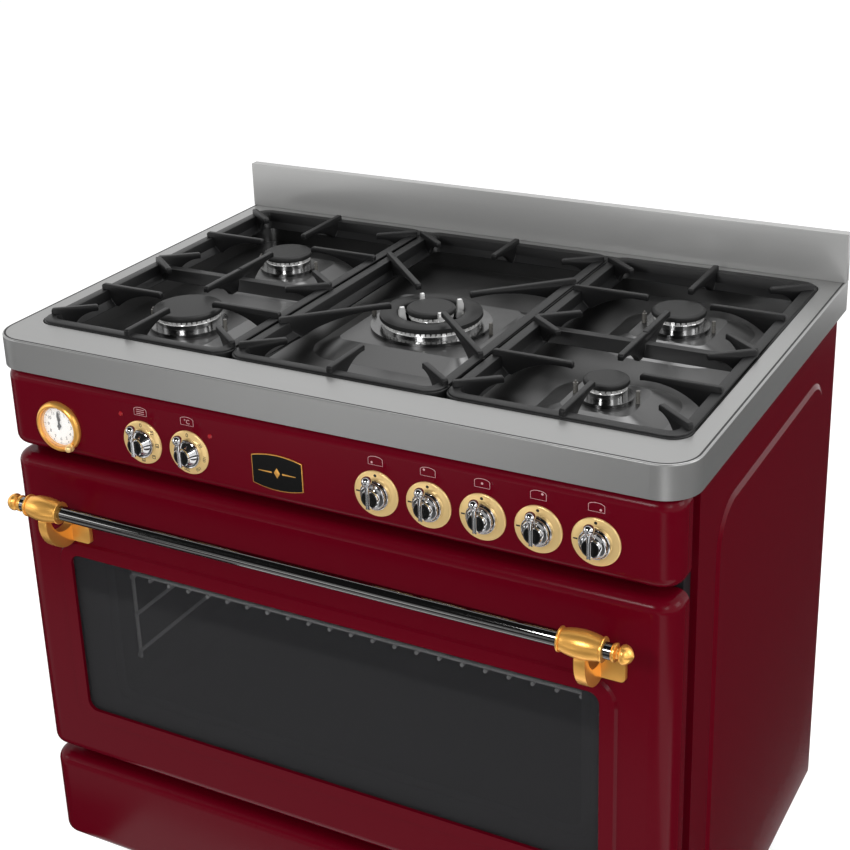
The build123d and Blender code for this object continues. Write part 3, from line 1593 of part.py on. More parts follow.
# Levelling feet: four screw feet under the base pan
foot_x = body_half - foot_inset
with BuildPart() as levelling_feet:
    for x in (-foot_x, foot_x):
        for y in (panel_front + foot_inset, panel_rear - foot_inset):
            for radius, start, height in (
                (foot_pad_radius, 0, foot_pad_height),
                (foot_stem_radius, foot_pad_height, pan_z - foot_pad_height),
            ):
                with BuildSketch(floor_plane(x, y, start)):
                    Circle(radius)
                extrude(amount=height)
            with BuildSketch(floor_plane(x, y, pan_z - foot_nut_height)):
                RegularPolygon(foot_nut_radius, 6)
            extrude(amount=foot_nut_height)
save(levelling_feet.part, "levelling_feet")

# Storage drawer: enamelled front and a folded box that hangs on the rails
save(front_shell(drawer_top, drawer_bottom, door_front, drawer_front_depth), "drawer_front")

box_front = door_front + drawer_front_depth
drawer_depth = rear_face - drawer_rear_gap - box_front
with BuildPart() as drawer_box:
    with BuildSketch(Plane.XY.offset(drawer_floor)):
        with Locations((0, box_front + drawer_depth / 2)):
            Rectangle(drawer_width, drawer_depth)
    extrude(amount=drawer_rim - drawer_floor)
    offset(amount=-sheet, openings=drawer_box.faces().sort_by(Axis.Z)[-1])
    for side in (-1, 1):
        with BuildSketch(Plane.XY.offset(drawer_rim)):
            with Locations((side * (drawer_width + drawer_lip) / 2, box_front + drawer_lip_setback)):
                Rectangle(drawer_lip, drawer_depth - drawer_lip_setback, align=(Align.CENTER, Align.MIN))
        extrude(amount=-sheet)
    with BuildSketch(face_plane(box_front)):
        with Locations((0, (drawer_top + drawer_bottom) / 2)):
            Rectangle(
                2 * (body_half - drawer_plate_margin), drawer_top - drawer_bottom - 2 * drawer_plate_margin
            )
    extrude(amount=-sheet)
save(drawer_box.part, "drawer_box")
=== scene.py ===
import json
import math

import bmesh
import bpy
from mathutils import Matrix, Vector


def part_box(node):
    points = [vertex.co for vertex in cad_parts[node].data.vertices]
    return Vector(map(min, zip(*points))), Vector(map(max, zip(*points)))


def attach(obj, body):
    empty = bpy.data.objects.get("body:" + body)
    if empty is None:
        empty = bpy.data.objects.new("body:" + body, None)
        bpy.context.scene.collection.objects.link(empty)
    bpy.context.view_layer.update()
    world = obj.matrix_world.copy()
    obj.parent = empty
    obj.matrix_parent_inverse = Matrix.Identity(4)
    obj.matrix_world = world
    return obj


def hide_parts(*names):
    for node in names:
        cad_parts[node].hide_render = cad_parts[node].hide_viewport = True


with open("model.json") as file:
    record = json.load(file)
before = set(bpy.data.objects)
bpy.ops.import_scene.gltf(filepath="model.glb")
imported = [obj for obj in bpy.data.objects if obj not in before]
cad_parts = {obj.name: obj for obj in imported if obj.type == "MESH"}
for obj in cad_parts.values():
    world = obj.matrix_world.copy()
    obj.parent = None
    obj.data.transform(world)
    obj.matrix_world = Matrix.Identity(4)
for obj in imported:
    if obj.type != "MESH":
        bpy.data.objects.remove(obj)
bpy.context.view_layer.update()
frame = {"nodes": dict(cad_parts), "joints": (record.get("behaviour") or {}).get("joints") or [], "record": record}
nodes = frame["nodes"]
scene = bpy.context.scene

MM = 0.001

# Planes and centres that the dressing hangs on, read from the solids and their joints
pivots = {joint["child"]: Vector(joint["pos_m"]) for joint in frame["joints"] if "pos_m" in joint}
fascia_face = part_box("control_fascia")[0].y
GAS_KNOBS = [f"gas_knob_{number}" for number in range(1, 6)]
OVEN_KNOBS = ["selector_knob", "thermostat_knob"]
GRATES = ["grate_left", "grate_centre", "grate_right"]
knob_axis = {name: pivots[name.replace("knob", "plug")] for name in GAS_KNOBS}
knob_axis.update({name: pivots[name] for name in OVEN_KNOBS})


def on_fascia(point):
    """The same place brought on to the front face of the control fascia."""
    return Vector((point.x, fascia_face, point.z))


knob_place = {name: on_fascia(point) for name, point in knob_axis.items()}
clock_place = on_fascia(pivots["minute_hand"])
clock_knob_place = on_fascia(pivots["clock_knob"])


# Helpers for objects and nodes

def add_object(name, data):
    """New object in the scene."""
    thing = bpy.data.objects.new(name, data)
    scene.collection.objects.link(thing)
    return thing


def join(tree, *links):
    """Link sockets; each link is (node, output, node, input)."""
    for source, output, target, socket in links:
        tree.links.new(source.outputs[output], target.inputs[socket])


def set_inputs(node, values):
    """Give a node's inputs their values, by name or number."""
    for label, value in values.items():
        node.inputs[label].default_value = value


def new_tree(name, family, inputs, outputs):
    """Empty node tree with its sockets, given as {name: kind}."""
    tree = bpy.data.node_groups.new(name, f"{family}NodeTree")
    for way, sockets in (("INPUT", inputs), ("OUTPUT", outputs)):
        for label, kind in sockets.items():
            tree.interface.new_socket(label, in_out=way, socket_type=f"NodeSocket{kind}")
    return tree, tree.nodes.new("NodeGroupInput"), tree.nodes.new("NodeGroupOutput")


# Shader effects shared by several finishes

NOISE_OUTPUTS = {"Roughness": "Float", "Height": "Float"}


def end_with_noise(group, start, end, noise):
    """Let a noise set the group's roughness, between its two limits, and its height."""
    spread = group.nodes.new("ShaderNodeMapRange")
    join(
        group,
        (noise, "Fac", spread, "Value"),
        (start, "Smooth", spread, "To Min"),
        (start, "Rough", spread, "To Max"),
        (spread, "Result", end, "Roughness"),
        (noise, "Fac", end, "Height"),
    )
    return group


def make_grain_group():
    """Fine even grain: a mottled roughness and a small height."""
    inputs = {"Scale": "Float", "Smooth": "Float", "Rough": "Float"}
    group, start, end = new_tree("surface_grain", "Shader", inputs, NOISE_OUTPUTS)
    place = group.nodes.new("ShaderNodeTexCoord")
    noise = group.nodes.new("ShaderNodeTexNoise")
    set_inputs(noise, {"Detail": 6.0})
    join(group, (place, "Object", noise, "Vector"), (start, "Scale", noise, "Scale"))
    return end_with_noise(group, start, end, noise)


def make_brush_group():
    """Long parallel scratches along X, as on brushed sheet."""
    inputs = {"Length": "Float", "Density": "Float", "Smooth": "Float", "Rough": "Float"}
    group, start, end = new_tree("brushed_lines", "Shader", inputs, NOISE_OUTPUTS)
    place = group.nodes.new("ShaderNodeTexCoord")
    stretch = group.nodes.new("ShaderNodeCombineXYZ")
    scaled = group.nodes.new("ShaderNodeVectorMath")
    scaled.operation = "MULTIPLY"
    noise = group.nodes.new("ShaderNodeTexNoise")
    set_inputs(noise, {"Scale": 1.0, "Detail": 3.0})
    join(
        group,
        (start, "Length", stretch, "X"),
        (start, "Density", stretch, "Y"),
        (start, "Density", stretch, "Z"),
        (place, "Object", scaled, 0),
        (stretch, "Vector", scaled, 1),
        (scaled, "Vector", noise, "Vector"),
    )
    return end_with_noise(group, start, end, noise)


def make_fleck_group():
    """Small round flecks scattered over a ground colour, as in oven enamel and zinc spangle."""
    inputs = {"Scale": "Float", "Reach": "Float", "Ground": "Color", "Fleck": "Color"}
    group, start, end = new_tree("flecks", "Shader", inputs, {"Color": "Color"})
    place = group.nodes.new("ShaderNodeTexCoord")
    cells = group.nodes.new("ShaderNodeTexVoronoi")
    mask = group.nodes.new("ShaderNodeMapRange")
    set_inputs(mask, {"From Min": 0.0, "To Min": 1.0, "To Max": 0.0})
    blend = group.nodes.new("ShaderNodeMix")
    blend.data_type = "RGBA"
    join(
        group,
        (place, "Object", cells, "Vector"),
        (start, "Scale", cells, "Scale"),
        (cells, "Distance", mask, "Value"),
        (start, "Reach", mask, "From Max"),
        (mask, "Result", blend, "Factor"),
        (start, "Ground", blend, "A"),
        (start, "Fleck", blend, "B"),
        (blend, "Result", end, "Color"),
    )
    return group


GRAIN = make_grain_group()
BRUSH = make_brush_group()
FLECKS = make_fleck_group()
SHEET_LINES = {"Length": 3.0, "Density": 1400.0}


# Finishes: relief is (strength, height in millimetres), gloss the least and the most roughness

def grey(level):
    """Neutral colour of one level."""
    return (level, level, level)


def shader_of(material):
    """The Principled shader of a material."""
    return material.node_tree.nodes["Principled BSDF"]


def finish(name, colour, roughness, metallic=0.0, specular=0.5, alpha=1.0):
    """Plain material of one colour."""
    material = bpy.data.materials.new(name)
    material.use_nodes = True
    set_inputs(shader_of(material), {
        "Base Color": (*colour, 1.0),
        "Roughness": roughness,
        "Metallic": metallic,
        "Specular IOR Level": specular,
        "Alpha": alpha,
    })
    return material


def add_effect(material, group, values):
    """Place a shared effect in a material with its inputs set."""
    effect = material.node_tree.nodes.new("ShaderNodeGroup")
    effect.node_tree = group
    set_inputs(effect, values)
    return effect


def textured(material, group, relief, gloss, values):
    """Let a shared effect set a material's roughness and a slight relief."""
    effect = add_effect(material, group, {"Smooth": gloss[0], "Rough": gloss[1], **values})
    bump = material.node_tree.nodes.new("ShaderNodeBump")
    set_inputs(bump, {"Strength": relief[0], "Distance": relief[1] * MM})
    shader = shader_of(material)
    join(
        material.node_tree,
        (effect, "Roughness", shader, "Roughness"),
        (effect, "Height", bump, "Height"),
        (bump, "Normal", shader, "Normal"),
    )
    return material


def grained(name, colour, metallic, relief, scale, gloss, specular=0.5):
    """Finish with an even grain."""
    material = finish(name, colour, gloss[0], metallic, specular)
    return textured(material, GRAIN, relief, gloss, {"Scale": scale})


def brushed(name, colour, metallic, relief, gloss):
    """Finish with fine lines along the sheet."""
    return textured(finish(name, colour, gloss[0], metallic), BRUSH, relief, gloss, SHEET_LINES)


def flecked(material, scale, reach, fleck):
    """Scatter flecks over a material's own colour."""
    shader = shader_of(material)
    ground = tuple(shader.inputs["Base Color"].default_value)
    values = {"Scale": scale, "Reach": reach, "Ground": ground, "Fleck": (*fleck, 1.0)}
    effect = add_effect(material, FLECKS, values)
    join(material.node_tree, (effect, "Color", shader, "Base Color"))
    return material


# Grained finishes: colour, metallic, relief, scale of the grain, gloss, specular
GRAINED = {
    "burgundy_enamel": ((0.09, 0.0003, 0.0055), 0.0, (0.015, 0.3), 60.0, (0.16, 0.24), 0.11),
    "black_enamel": ((0.006, 0.006, 0.0065), 0.0, (0.06, 0.5), 120.0, (0.1, 0.2), 0.4),
    "cast_iron": ((0.006, 0.006, 0.0063), 0.0, (0.25, 0.6), 900.0, (0.3, 0.5), 0.28),
    "burner_alloy": ((0.9, 0.9, 0.89), 0.55, (0.01, 0.1), 120.0, (0.1, 0.2)),
    "brass": ((1.0, 0.52, 0.12), 0.8, (0.01, 0.1), 90.0, (0.26, 0.36)),
    "black_chrome": ((0.22, 0.218, 0.215), 1.0, (0.02, 0.2), 250.0, (0.05, 0.12)),
    "chrome_wire": (grey(0.92), 0.25, (0.02, 0.1), 120.0, (0.14, 0.26)),
    "seal_rubber": (grey(0.02), 0.0, (0.2, 0.5), 700.0, (0.6, 0.8)),
    "ceramic": ((0.12, 0.115, 0.105), 0.0, (0.05, 0.3), 400.0, (0.2, 0.36)),
    "switch_plastic": ((0.5, 0.48, 0.44), 0.0, (0.1, 0.3), 500.0, (0.42, 0.6)),
    "element_steel": ((0.2, 0.19, 0.18), 1.0, (0.1, 0.4), 300.0, (0.32, 0.5)),
    "zinc_steel": ((0.34, 0.35, 0.36), 0.9, (0.1, 0.5), 60.0, (0.35, 0.55)),
    "grey_oven_enamel": ((0.013, 0.013, 0.0145), 0.0, (0.01, 0.2), 60.0, (0.34, 0.42), 0.3),
    "pale_brass": ((0.96, 0.68, 0.3), 0.6, (0.01, 0.1), 60.0, (0.26, 0.36)),
    "dark_tray": (grey(0.13), 1.0, (0.02, 0.4), 40.0, (0.28, 0.38)),
    "dark_cup": (grey(0.16), 1.0, (0.01, 0.1), 120.0, (0.16, 0.26)),
    "knob_chrome": ((0.66, 0.66, 0.67), 1.0, (0.01, 0.2), 300.0, (0.05, 0.09)),
    "crown_wall": (grey(0.5), 1.0, (0.01, 0.1), 120.0, (0.08, 0.16)),
    "burner_cap": (grey(0.012), 0.0, (0.1, 0.4), 700.0, (0.4, 0.52), 0.25),
}
MATERIALS = {name: grained(name, *values) for name, values in GRAINED.items()}
flecked(MATERIALS["zinc_steel"], 140.0, 0.8, (0.46, 0.47, 0.48))
MATERIALS["grey_enamel"] = flecked(MATERIALS["grey_oven_enamel"], 150.0, 0.16, (0.03, 0.03, 0.033))
MATERIALS["stainless"] = brushed("brushed_stainless", (0.33, 0.33, 0.327), 0.7, (0.1, 0.4), (0.24, 0.4))
set_inputs(shader_of(MATERIALS["stainless"]), {"Anisotropic": 0.4})
MATERIALS["clear_glass"] = finish("smoked_glass", (0.03, 0.03, 0.032), 0.04, specular=0.28, alpha=0.36)
MATERIALS["dial_white"] = finish("dial_white", (0.93, 0.93, 0.91), 0.4)
MATERIALS["hand_black"] = finish("hand_black", grey(0.008), 0.3)
MATERIALS["lens_red"] = finish("lens_red", (0.28, 0.008, 0.012), 0.15)
BRASS = MATERIALS["brass"]
PALE_BRASS = MATERIALS["pale_brass"]
CAST_IRON = MATERIALS["cast_iron"]
BURNER_ALLOY = MATERIALS["burner_alloy"]
CHROME_WIRE = MATERIALS["chrome_wire"]
CHROME = MATERIALS["knob_chrome"]
SPLASH_STEEL = brushed("splash_stainless", (0.42, 0.42, 0.415), 0.5, (0.12, 0.4), (0.28, 0.44))
BLACK_INLAY = finish("black_inlay", grey(0.004), 0.22, specular=0.15)
PALE_PRINT = finish("pale_print", (0.5, 0.27, 0.28), 0.45)
DARK_PRINT = finish("dark_print", (0.01, 0.009, 0.008), 0.4)

# Solids whose look differs from the rest of their slot
OWN_FINISHES = {
    "clock_glass": finish("watch_glass", grey(0.9), 0.03, alpha=0.08),
    "inner_glass": finish("inner_pane", (0.02, 0.02, 0.022), 0.04, alpha=0.06),
    "backsplash": SPLASH_STEEL,
    "hob_tray": MATERIALS["dark_tray"],
    "burner_cups": MATERIALS["dark_cup"],
}


def dress_solids():
    """Give every solid its own finish or that of its slot in the record."""
    for row in frame["record"]["subparts"]:
        mesh = nodes[row["node"]].data
        mesh.materials.clear()
        mesh.materials.append(OWN_FINISHES.get(row["node"], MATERIALS[row["material_slot"]]))


dress_solids()


# Shapes: profiles and outlines are in millimetres from a centre in metres

RIGHT, BACK, UP = Vector((1, 0, 0)), Vector((0, 1, 0)), Vector((0, 0, 1))
FACING = {
    "out": (RIGHT, UP, -BACK),
    "up": (RIGHT, BACK, UP),
    "right": (BACK, UP, RIGHT),
    "left": (BACK, UP, -RIGHT),
}
EASE_SHARE = 0.49
FLOW_STEPS = 6
BALL_ROUND = 40
BALL_RISE = 24


def facing_matrix(centre, facing, turn=0.0):
    """Placement that lays local X, Y, Z along the facing's three directions."""
    across, upward, outward = FACING[facing]
    frame_of = Matrix((across, upward, outward)).transposed().to_4x4()
    return Matrix.Translation(centre) @ frame_of @ Matrix.Rotation(turn, 4, "Z")


def rounded(points, size, steps=5):
    """Polyline with its inner corners eased by the given length, or by just under half of a short side."""
    line = [points[0]]
    for before, corner, after in zip(points, points[1:], points[2:]):
        middle = Vector(corner)
        start, end = (
            middle + way.normalized() * min(size, way.length * EASE_SHARE)
            for way in (Vector(before) - middle, Vector(after) - middle)
        )
        for step in range(steps + 1):
            t = step / steps
            line.append(tuple(start * (1 - t) ** 2 + middle * 2 * t * (1 - t) + end * t * t))
    return line + [points[-1]]


def flowing(points):
    """Smooth line through the points."""
    knots = [Vector(p) for p in points]
    knots = [knots[0] * 2 - knots[1], *knots, knots[-1] * 2 - knots[-2]]
    line = []
    for a, b, c, d in zip(knots, knots[1:], knots[2:], knots[3:]):
        for step in range(FLOW_STEPS):
            t = step / FLOW_STEPS
            line.append(tuple(0.5 * (
                2 * b + (c - a) * t + (2 * a - 5 * b + 4 * c - d) * t * t + (3 * b - a - 3 * c + d) * t ** 3
            )))
    return line + [tuple(points[-1])]


def turned(bm, profile, centre, facing, sides, finishes=None, ring=False):
    """Turn a profile of (along, radius) points round the facing direction."""
    across, upward, outward = FACING[facing]
    rows = []
    for along, radius in profile:
        middle = centre + outward * along * MM
        if not radius:
            rows.append([bm.verts.new(middle)])
            continue
        rows.append([
            bm.verts.new(middle + (across * math.cos(a) + upward * math.sin(a)) * radius * MM)
            for a in (2 * math.pi * side / sides for side in range(sides))
        ])
    pairs = list(zip(rows, rows[1:])) + ([(rows[-1], rows[0])] if ring else [])
    for band, (low, high) in enumerate(pairs):
        for side in range(sides):
            after = (side + 1) % sides
            around = [(low, side), (low, after), (high, after), (high, side)]
            corners = list(dict.fromkeys(row[number % len(row)] for row, number in around))
            if len(corners) > 2:
                face = bm.faces.new(corners)
                face.material_index = finishes[band] if finishes else 0


def bridged(bm, first, last):
    """Solid between two matching outlines in space; its end faces come first in the list."""
    ends = [[bm.verts.new(point) for point in outline] for outline in (first, last)]
    made = [bm.faces.new(ends[0]), bm.faces.new(ends[1])]
    for i in range(len(first)):
        j = (i + 1) % len(first)
        made.append(bm.faces.new((ends[0][i], ends[0][j], ends[1][j], ends[1][i])))
    return made


def moved(centre, across, upward, out=0.0):
    """A place shifted on the fascia, in millimetres."""
    return centre + Vector((across, -out, upward)) * MM


def slab(bm, outline, centre, low, high, finish_number, ease=0.0):
    """Push a closed outline out from low to high; ease rounds its front and back edges."""
    back, front = ([moved(centre, a, b, depth) for a, b in outline] for depth in (low, high))
    made = bridged(bm, back, front)
    rims = [edge for face in made[:2] for edge in face.edges]
    for face in made:
        face.material_index = finish_number
    if ease:
        bmesh.ops.recalc_face_normals(bm, faces=made)
        bmesh.ops.bevel(
            bm, geom=rims, offset=ease * MM, segments=3, profile=0.5, affect="EDGES", clamp_overlap=True,
            material=finish_number,
        )


def ball(bm, centre, radius):
    """Round ball about a centre."""
    bmesh.ops.create_uvsphere(
        bm, u_segments=BALL_ROUND, v_segments=BALL_RISE, radius=radius * MM, matrix=Matrix.Translation(centre)
    )


def plain_mesh(thing):
    """The evaluated shape of an object as a mesh of its own; the object is removed."""
    bpy.context.view_layer.update()
    depsgraph = bpy.context.evaluated_depsgraph_get()
    mesh = bpy.data.meshes.new_from_object(thing.evaluated_get(depsgraph), depsgraph=depsgraph)
    bpy.data.objects.remove(thing, do_unlink=True)
    return mesh


def mount(name, mesh, body, crease, finishes=(), stands_for=()):
    """Put a finished mesh on a body, in place of the solids it stands for."""
    if not mesh.materials:
        for material in finishes:
            mesh.materials.append(material)
    mesh.name = name
    mesh.shade_smooth()
    mesh.set_sharp_from_angle(angle=math.radians(crease))
    piece = add_object(name, mesh)
    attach(piece, body)
    if stands_for:
        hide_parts(*stands_for)


def close_piece(name, bm, body, finishes, stands_for=(), crease=32):
    """Turn a worked shape into a mounted piece."""
    bmesh.ops.recalc_face_normals(bm, faces=bm.faces)
    mesh = bpy.data.meshes.new(name)
    bm.to_mesh(mesh)
    bm.free()
    mount(name, mesh, body, crease, finishes, stands_for)


FLAT_ANGLE = math.radians(1.0)
EDGE_ANGLE = math.radians(28)


def eased_mesh(node, material, width, segments=2, merge=0.02, clamp=True):
    """Copy of a solid's mesh with its facets merged and its edges rounded."""
    bm = bmesh.new()
    bm.from_mesh(nodes[node].data)
    bmesh.ops.remove_doubles(bm, verts=bm.verts, dist=merge * MM)
    bmesh.ops.dissolve_limit(bm, angle_limit=FLAT_ANGLE, verts=bm.verts, edges=bm.edges)
    mesh = bpy.data.meshes.new(node)
    mesh.materials.append(material)
    bm.to_mesh(mesh)
    bm.free()
    carrier = add_object(f"soft_{node}", mesh)
    bevel = carrier.modifiers.new("eased_edges", "BEVEL")
    bevel.width = width * MM
    bevel.segments = segments
    bevel.limit_method = "ANGLE"
    bevel.angle_limit = EDGE_ANGLE
    bevel.use_clamp_overlap = clamp
    return plain_mesh(carrier)


# Printed marks: text and drawn lines turned into thin raised meshes

PRINT_DEPTH = 0.06
PRINT_SINK = 0.05
LINE_FLATNESS = 0.3


def add_print(bm, curve, placement):
    """Add a curve's shape to a worked shape, at its place."""
    mesh = plain_mesh(add_object("print", curve))
    bpy.data.curves.remove(curve)
    mesh.transform(placement)
    bm.from_mesh(mesh)
    bpy.data.meshes.remove(mesh)


def print_text(bm, words, centre, size, turn=0.0):
    """Flat words, centred on a place."""
    curve = bpy.data.curves.new("words", "FONT")
    curve.body = words
    curve.size = size * MM
    curve.align_x = "CENTER"
    curve.align_y = "CENTER"
    curve.extrude = PRINT_DEPTH * MM
    add_print(bm, curve, facing_matrix(centre, "out", turn))


def print_line(bm, points, centre, width, closed=False, facing="out"):
    """Low line of one width through the points."""
    curve = bpy.data.curves.new("line", "CURVE")
    curve.dimensions = "3D"
    curve.bevel_depth = width * MM / 2
    curve.bevel_resolution = 1
    curve.use_fill_caps = True
    spline = curve.splines.new("POLY")
    spline.points.add(len(points) - 1)
    for point, (a, b) in zip(spline.points, points):
        point.co = (a * MM, b * MM, 0, 1)
    spline.use_cyclic_u = closed
    add_print(bm, curve, facing_matrix(centre, facing) @ Matrix.Diagonal((1, 1, LINE_FLATNESS, 1)))


def print_dot(bm, centre, radius):
    """Low round dot."""
    disc = [(-PRINT_SINK, 0), (-PRINT_SINK, radius), (PRINT_DEPTH, radius), (PRINT_DEPTH, 0)]
    turned(bm, disc, centre, "out", sides=20)


# Node trees for what repeats

WIRE_SIDES = 14
HEAD_SIDES = 24
HEAD_CROWN = 0.72
POINT_INPUTS = {
    "Points": "Geometry", "Radius": "Float", "Depth": "Float", "Lie": "Vector", "Finish": "Material"
}


def end_tree(tree, start, end, spread):
    """Make the instances real and give them the tree's finish."""
    real = tree.nodes.new("GeometryNodeRealizeInstances")
    dressed = tree.nodes.new("GeometryNodeSetMaterial")
    join(
        tree,
        (spread, "Instances", real, "Geometry"),
        (real, "Geometry", dressed, "Geometry"),
        (start, "Finish", dressed, "Material"),
        (dressed, "Geometry", end, "Geometry"),
    )
    return tree


def lay_on_points(tree, start, end, shape):
    """Put one shape on each point of the carrier, lying as the tree's input says."""
    lie = tree.nodes.new("FunctionNodeEulerToRotation")
    spread = tree.nodes.new("GeometryNodeInstanceOnPoints")
    join(
        tree,
        (start, "Lie", lie, "Euler"),
        (start, "Points", spread, "Points"),
        (shape, "Mesh", spread, "Instance"),
        (lie, "Rotation", spread, "Rotation"),
    )
    return end_tree(tree, start, end, spread)


def make_ring_tree():
    """Blocks spread evenly round a circle, each pointing outward."""
    inputs = {"Count": "Int", "Radius": "Float", "Size": "Vector", "Finish": "Material"}
    tree, start, end = new_tree("ring_of_blocks", "Geometry", inputs, {"Geometry": "Geometry"})
    circle = tree.nodes.new("GeometryNodeMeshCircle")
    block = tree.nodes.new("GeometryNodeMeshCube")
    place = tree.nodes.new("GeometryNodeInputPosition")
    aim = tree.nodes.new("FunctionNodeAlignRotationToVector")
    aim.axis = "X"
    spread = tree.nodes.new("GeometryNodeInstanceOnPoints")
    join(
        tree,
        (start, "Count", circle, "Vertices"),
        (start, "Radius", circle, "Radius"),
        (start, "Size", block, "Size"),
        (place, "Position", aim, "Vector"),
        (circle, "Mesh", spread, "Points"),
        (block, "Mesh", spread, "Instance"),
        (aim, "Rotation", spread, "Rotation"),
    )
    return end_tree(tree, start, end, spread)


def make_wire_tree():
    """Round wires of one length, one through each point of the carrier."""
    tree, start, end = new_tree("wires_on_points", "Geometry", POINT_INPUTS, {"Geometry": "Geometry"})
    wire = tree.nodes.new("GeometryNodeMeshCylinder")
    set_inputs(wire, {"Vertices": WIRE_SIDES})
    join(tree, (start, "Radius", wire, "Radius"), (start, "Depth", wire, "Depth"))
    return lay_on_points(tree, start, end, wire)


def make_screw_tree():
    """Low pan heads, one on each point of the carrier."""
    tree, start, end = new_tree("screw_heads", "Geometry", POINT_INPUTS, {"Geometry": "Geometry"})
    head = tree.nodes.new("GeometryNodeMeshCone")
    set_inputs(head, {"Vertices": HEAD_SIDES})
    crown = tree.nodes.new("ShaderNodeMath")
    crown.operation = "MULTIPLY"
    set_inputs(crown, {1: HEAD_CROWN})
    join(
        tree,
        (start, "Radius", crown, 0),
        (crown, "Value", head, "Radius Top"),
        (start, "Radius", head, "Radius Bottom"),
        (start, "Depth", head, "Depth"),
    )
    return lay_on_points(tree, start, end, head)


RING_OF_BLOCKS = make_ring_tree()
WIRES_ON_POINTS = make_wire_tree()
SCREW_HEADS = make_screw_tree()


def grown(tree, values, points=()):
    """Run a node tree on a carrier of loose points and keep the result as a plain mesh."""
    mesh = bpy.data.meshes.new(tree.name)
    mesh.from_pydata([tuple(point) for point in points], [], [])
    carrier = add_object(tree.name, mesh)
    modifier = carrier.modifiers.new(tree.name, "NODES")
    modifier.node_group = tree
    for item in tree.interface.items_tree:
        if item.item_type == "SOCKET" and item.in_out == "INPUT" and item.name in values:
            modifier[item.identifier] = values[item.name]
    return plain_mesh(carrier)


def take_in(bm, mesh):
    """Add a grown mesh to a worked shape, in the shape's first finish."""
    known = len(bm.faces)
    bm.from_mesh(mesh)
    bm.faces.ensure_lookup_table()
    for face in bm.faces[known:]:
        face.material_index = 0
    bpy.data.meshes.remove(mesh)


# Knobs: distances out are counted from the fascia's face

KNOB_STEM = 4.0
KNOB_SKIRT = 15.5
GAS_SKIRT_BACK = 6.5
OVEN_SKIRT_BACK = 2.5
KNOB_FACE = 17.0
KNOB_FACE_RADIUS = 10.8
INLAY_DEPTH = 0.3
GRIP_BACK = 16.5
GRIP_SHOULDER = 20.6
GRIP_CREST = 21.0
GRIP_GROOVE = 20.0
GRIP_HALF_WIDTH = 2.5
GRIP_HALF_LENGTH = 10.4
POINTER_OUT = 20.5
POINTER_BALL_RISE = 23.5
POINTER_BALL = 6.0


def make_knob(name):
    """Turned bell with a black-inlaid face, a grooved grip bar and a ball pointer."""
    centre = knob_place[name]
    back = (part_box(name)[1].y - fascia_face) / MM
    skirt = GAS_SKIRT_BACK if name in GAS_KNOBS else OVEN_SKIRT_BACK
    bell = flowing([(skirt + 2.6, KNOB_SKIRT), (skirt + 4.2, 14.4), (12.0, 10.2), (14.4, 9.0)])
    profile = [(-back, 0), (-back, KNOB_STEM), (skirt, KNOB_STEM)]
    profile += [(skirt, KNOB_SKIRT - 0.4), (skirt + 0.4, KNOB_SKIRT), *bell]
    profile += [(14.6, 10.3), (15.0, KNOB_FACE_RADIUS), (16.4, KNOB_FACE_RADIUS), (KNOB_FACE, 10.2)]
    profile += [(KNOB_FACE, 9.3)]
    inlay = len(profile) - 1
    profile += [(KNOB_FACE - INLAY_DEPTH, 9.2), (KNOB_FACE - INLAY_DEPTH, 0)]
    finishes = [1 if band >= inlay else 0 for band in range(len(profile) - 1)]
    bm = bmesh.new()
    turned(bm, profile, centre, "out", sides=72, finishes=finishes)
    half_grip = [(0.5, GRIP_GROOVE), (0.7, GRIP_CREST), (GRIP_HALF_WIDTH, GRIP_SHOULDER)]
    half_grip += [(GRIP_HALF_WIDTH, GRIP_BACK)]
    grip = rounded([(-a, b) for a, b in reversed(half_grip)] + half_grip, size=0.5, steps=4)
    bottom, top = (
        [moved(centre, a, height, b) for a, b in grip] for height in (-GRIP_HALF_LENGTH, GRIP_HALF_LENGTH)
    )
    bridged(bm, bottom, top)
    pointer = moved(centre, 0, 0, POINTER_OUT)
    neck = [(9.6, 0), (9.6, 2.6), (14.0, 2.5), (16.6, 2.7), (17.4, 3.6), (18.2, 3.6), (19.0, 2.8)]
    neck += [(20.0, 2.8), (20.0, 0)]
    turned(bm, neck, pointer, "up", sides=32)
    ball(bm, moved(pointer, 0, POINTER_BALL_RISE), POINTER_BALL)
    close_piece(f"turned_{name}", bm, name, [CHROME, BLACK_INLAY], [name], crease=40)


# Scale rings and printed marks

PLATE_RISE = 2.0
PLATE_RADIUS = 27.5
PLATE_BORE = 4.6
COLLAR_RISE = 7.0
COLLAR_RADIUS = 17.8
COLLAR_BORE = 16.0


def make_scale_rings():
    """Brass scale plate and chrome collar behind each knob."""
    bm = bmesh.new()
    plate = [(0.0, PLATE_BORE), (0.0, PLATE_RADIUS), (0.9, PLATE_RADIUS), (1.7, PLATE_RADIUS - 0.5)]
    plate += [(PLATE_RISE, PLATE_RADIUS - 1.3), (PLATE_RISE, COLLAR_RADIUS + 0.3)]
    collar = [(PLATE_RISE + 0.3, COLLAR_RADIUS), (COLLAR_RISE - 0.8, COLLAR_RADIUS)]
    collar += [(COLLAR_RISE - 0.2, COLLAR_RADIUS - 0.4), (COLLAR_RISE, COLLAR_RADIUS - 0.9)]
    collar += [(COLLAR_RISE - 0.2, COLLAR_BORE + 0.4), (COLLAR_RISE - 0.8, COLLAR_BORE)]
    collar += [(PLATE_RISE, COLLAR_BORE), (PLATE_RISE, PLATE_BORE)]
    finishes = [0] * len(plate) + [1] * len(collar)
    for centre in knob_place.values():
        turned(bm, plate + collar, centre, "out", sides=96, finishes=finishes, ring=True)
    close_piece("scale_rings", bm, "cabinet", [PALE_BRASS, CHROME], ["knob_bezels"], crease=40)


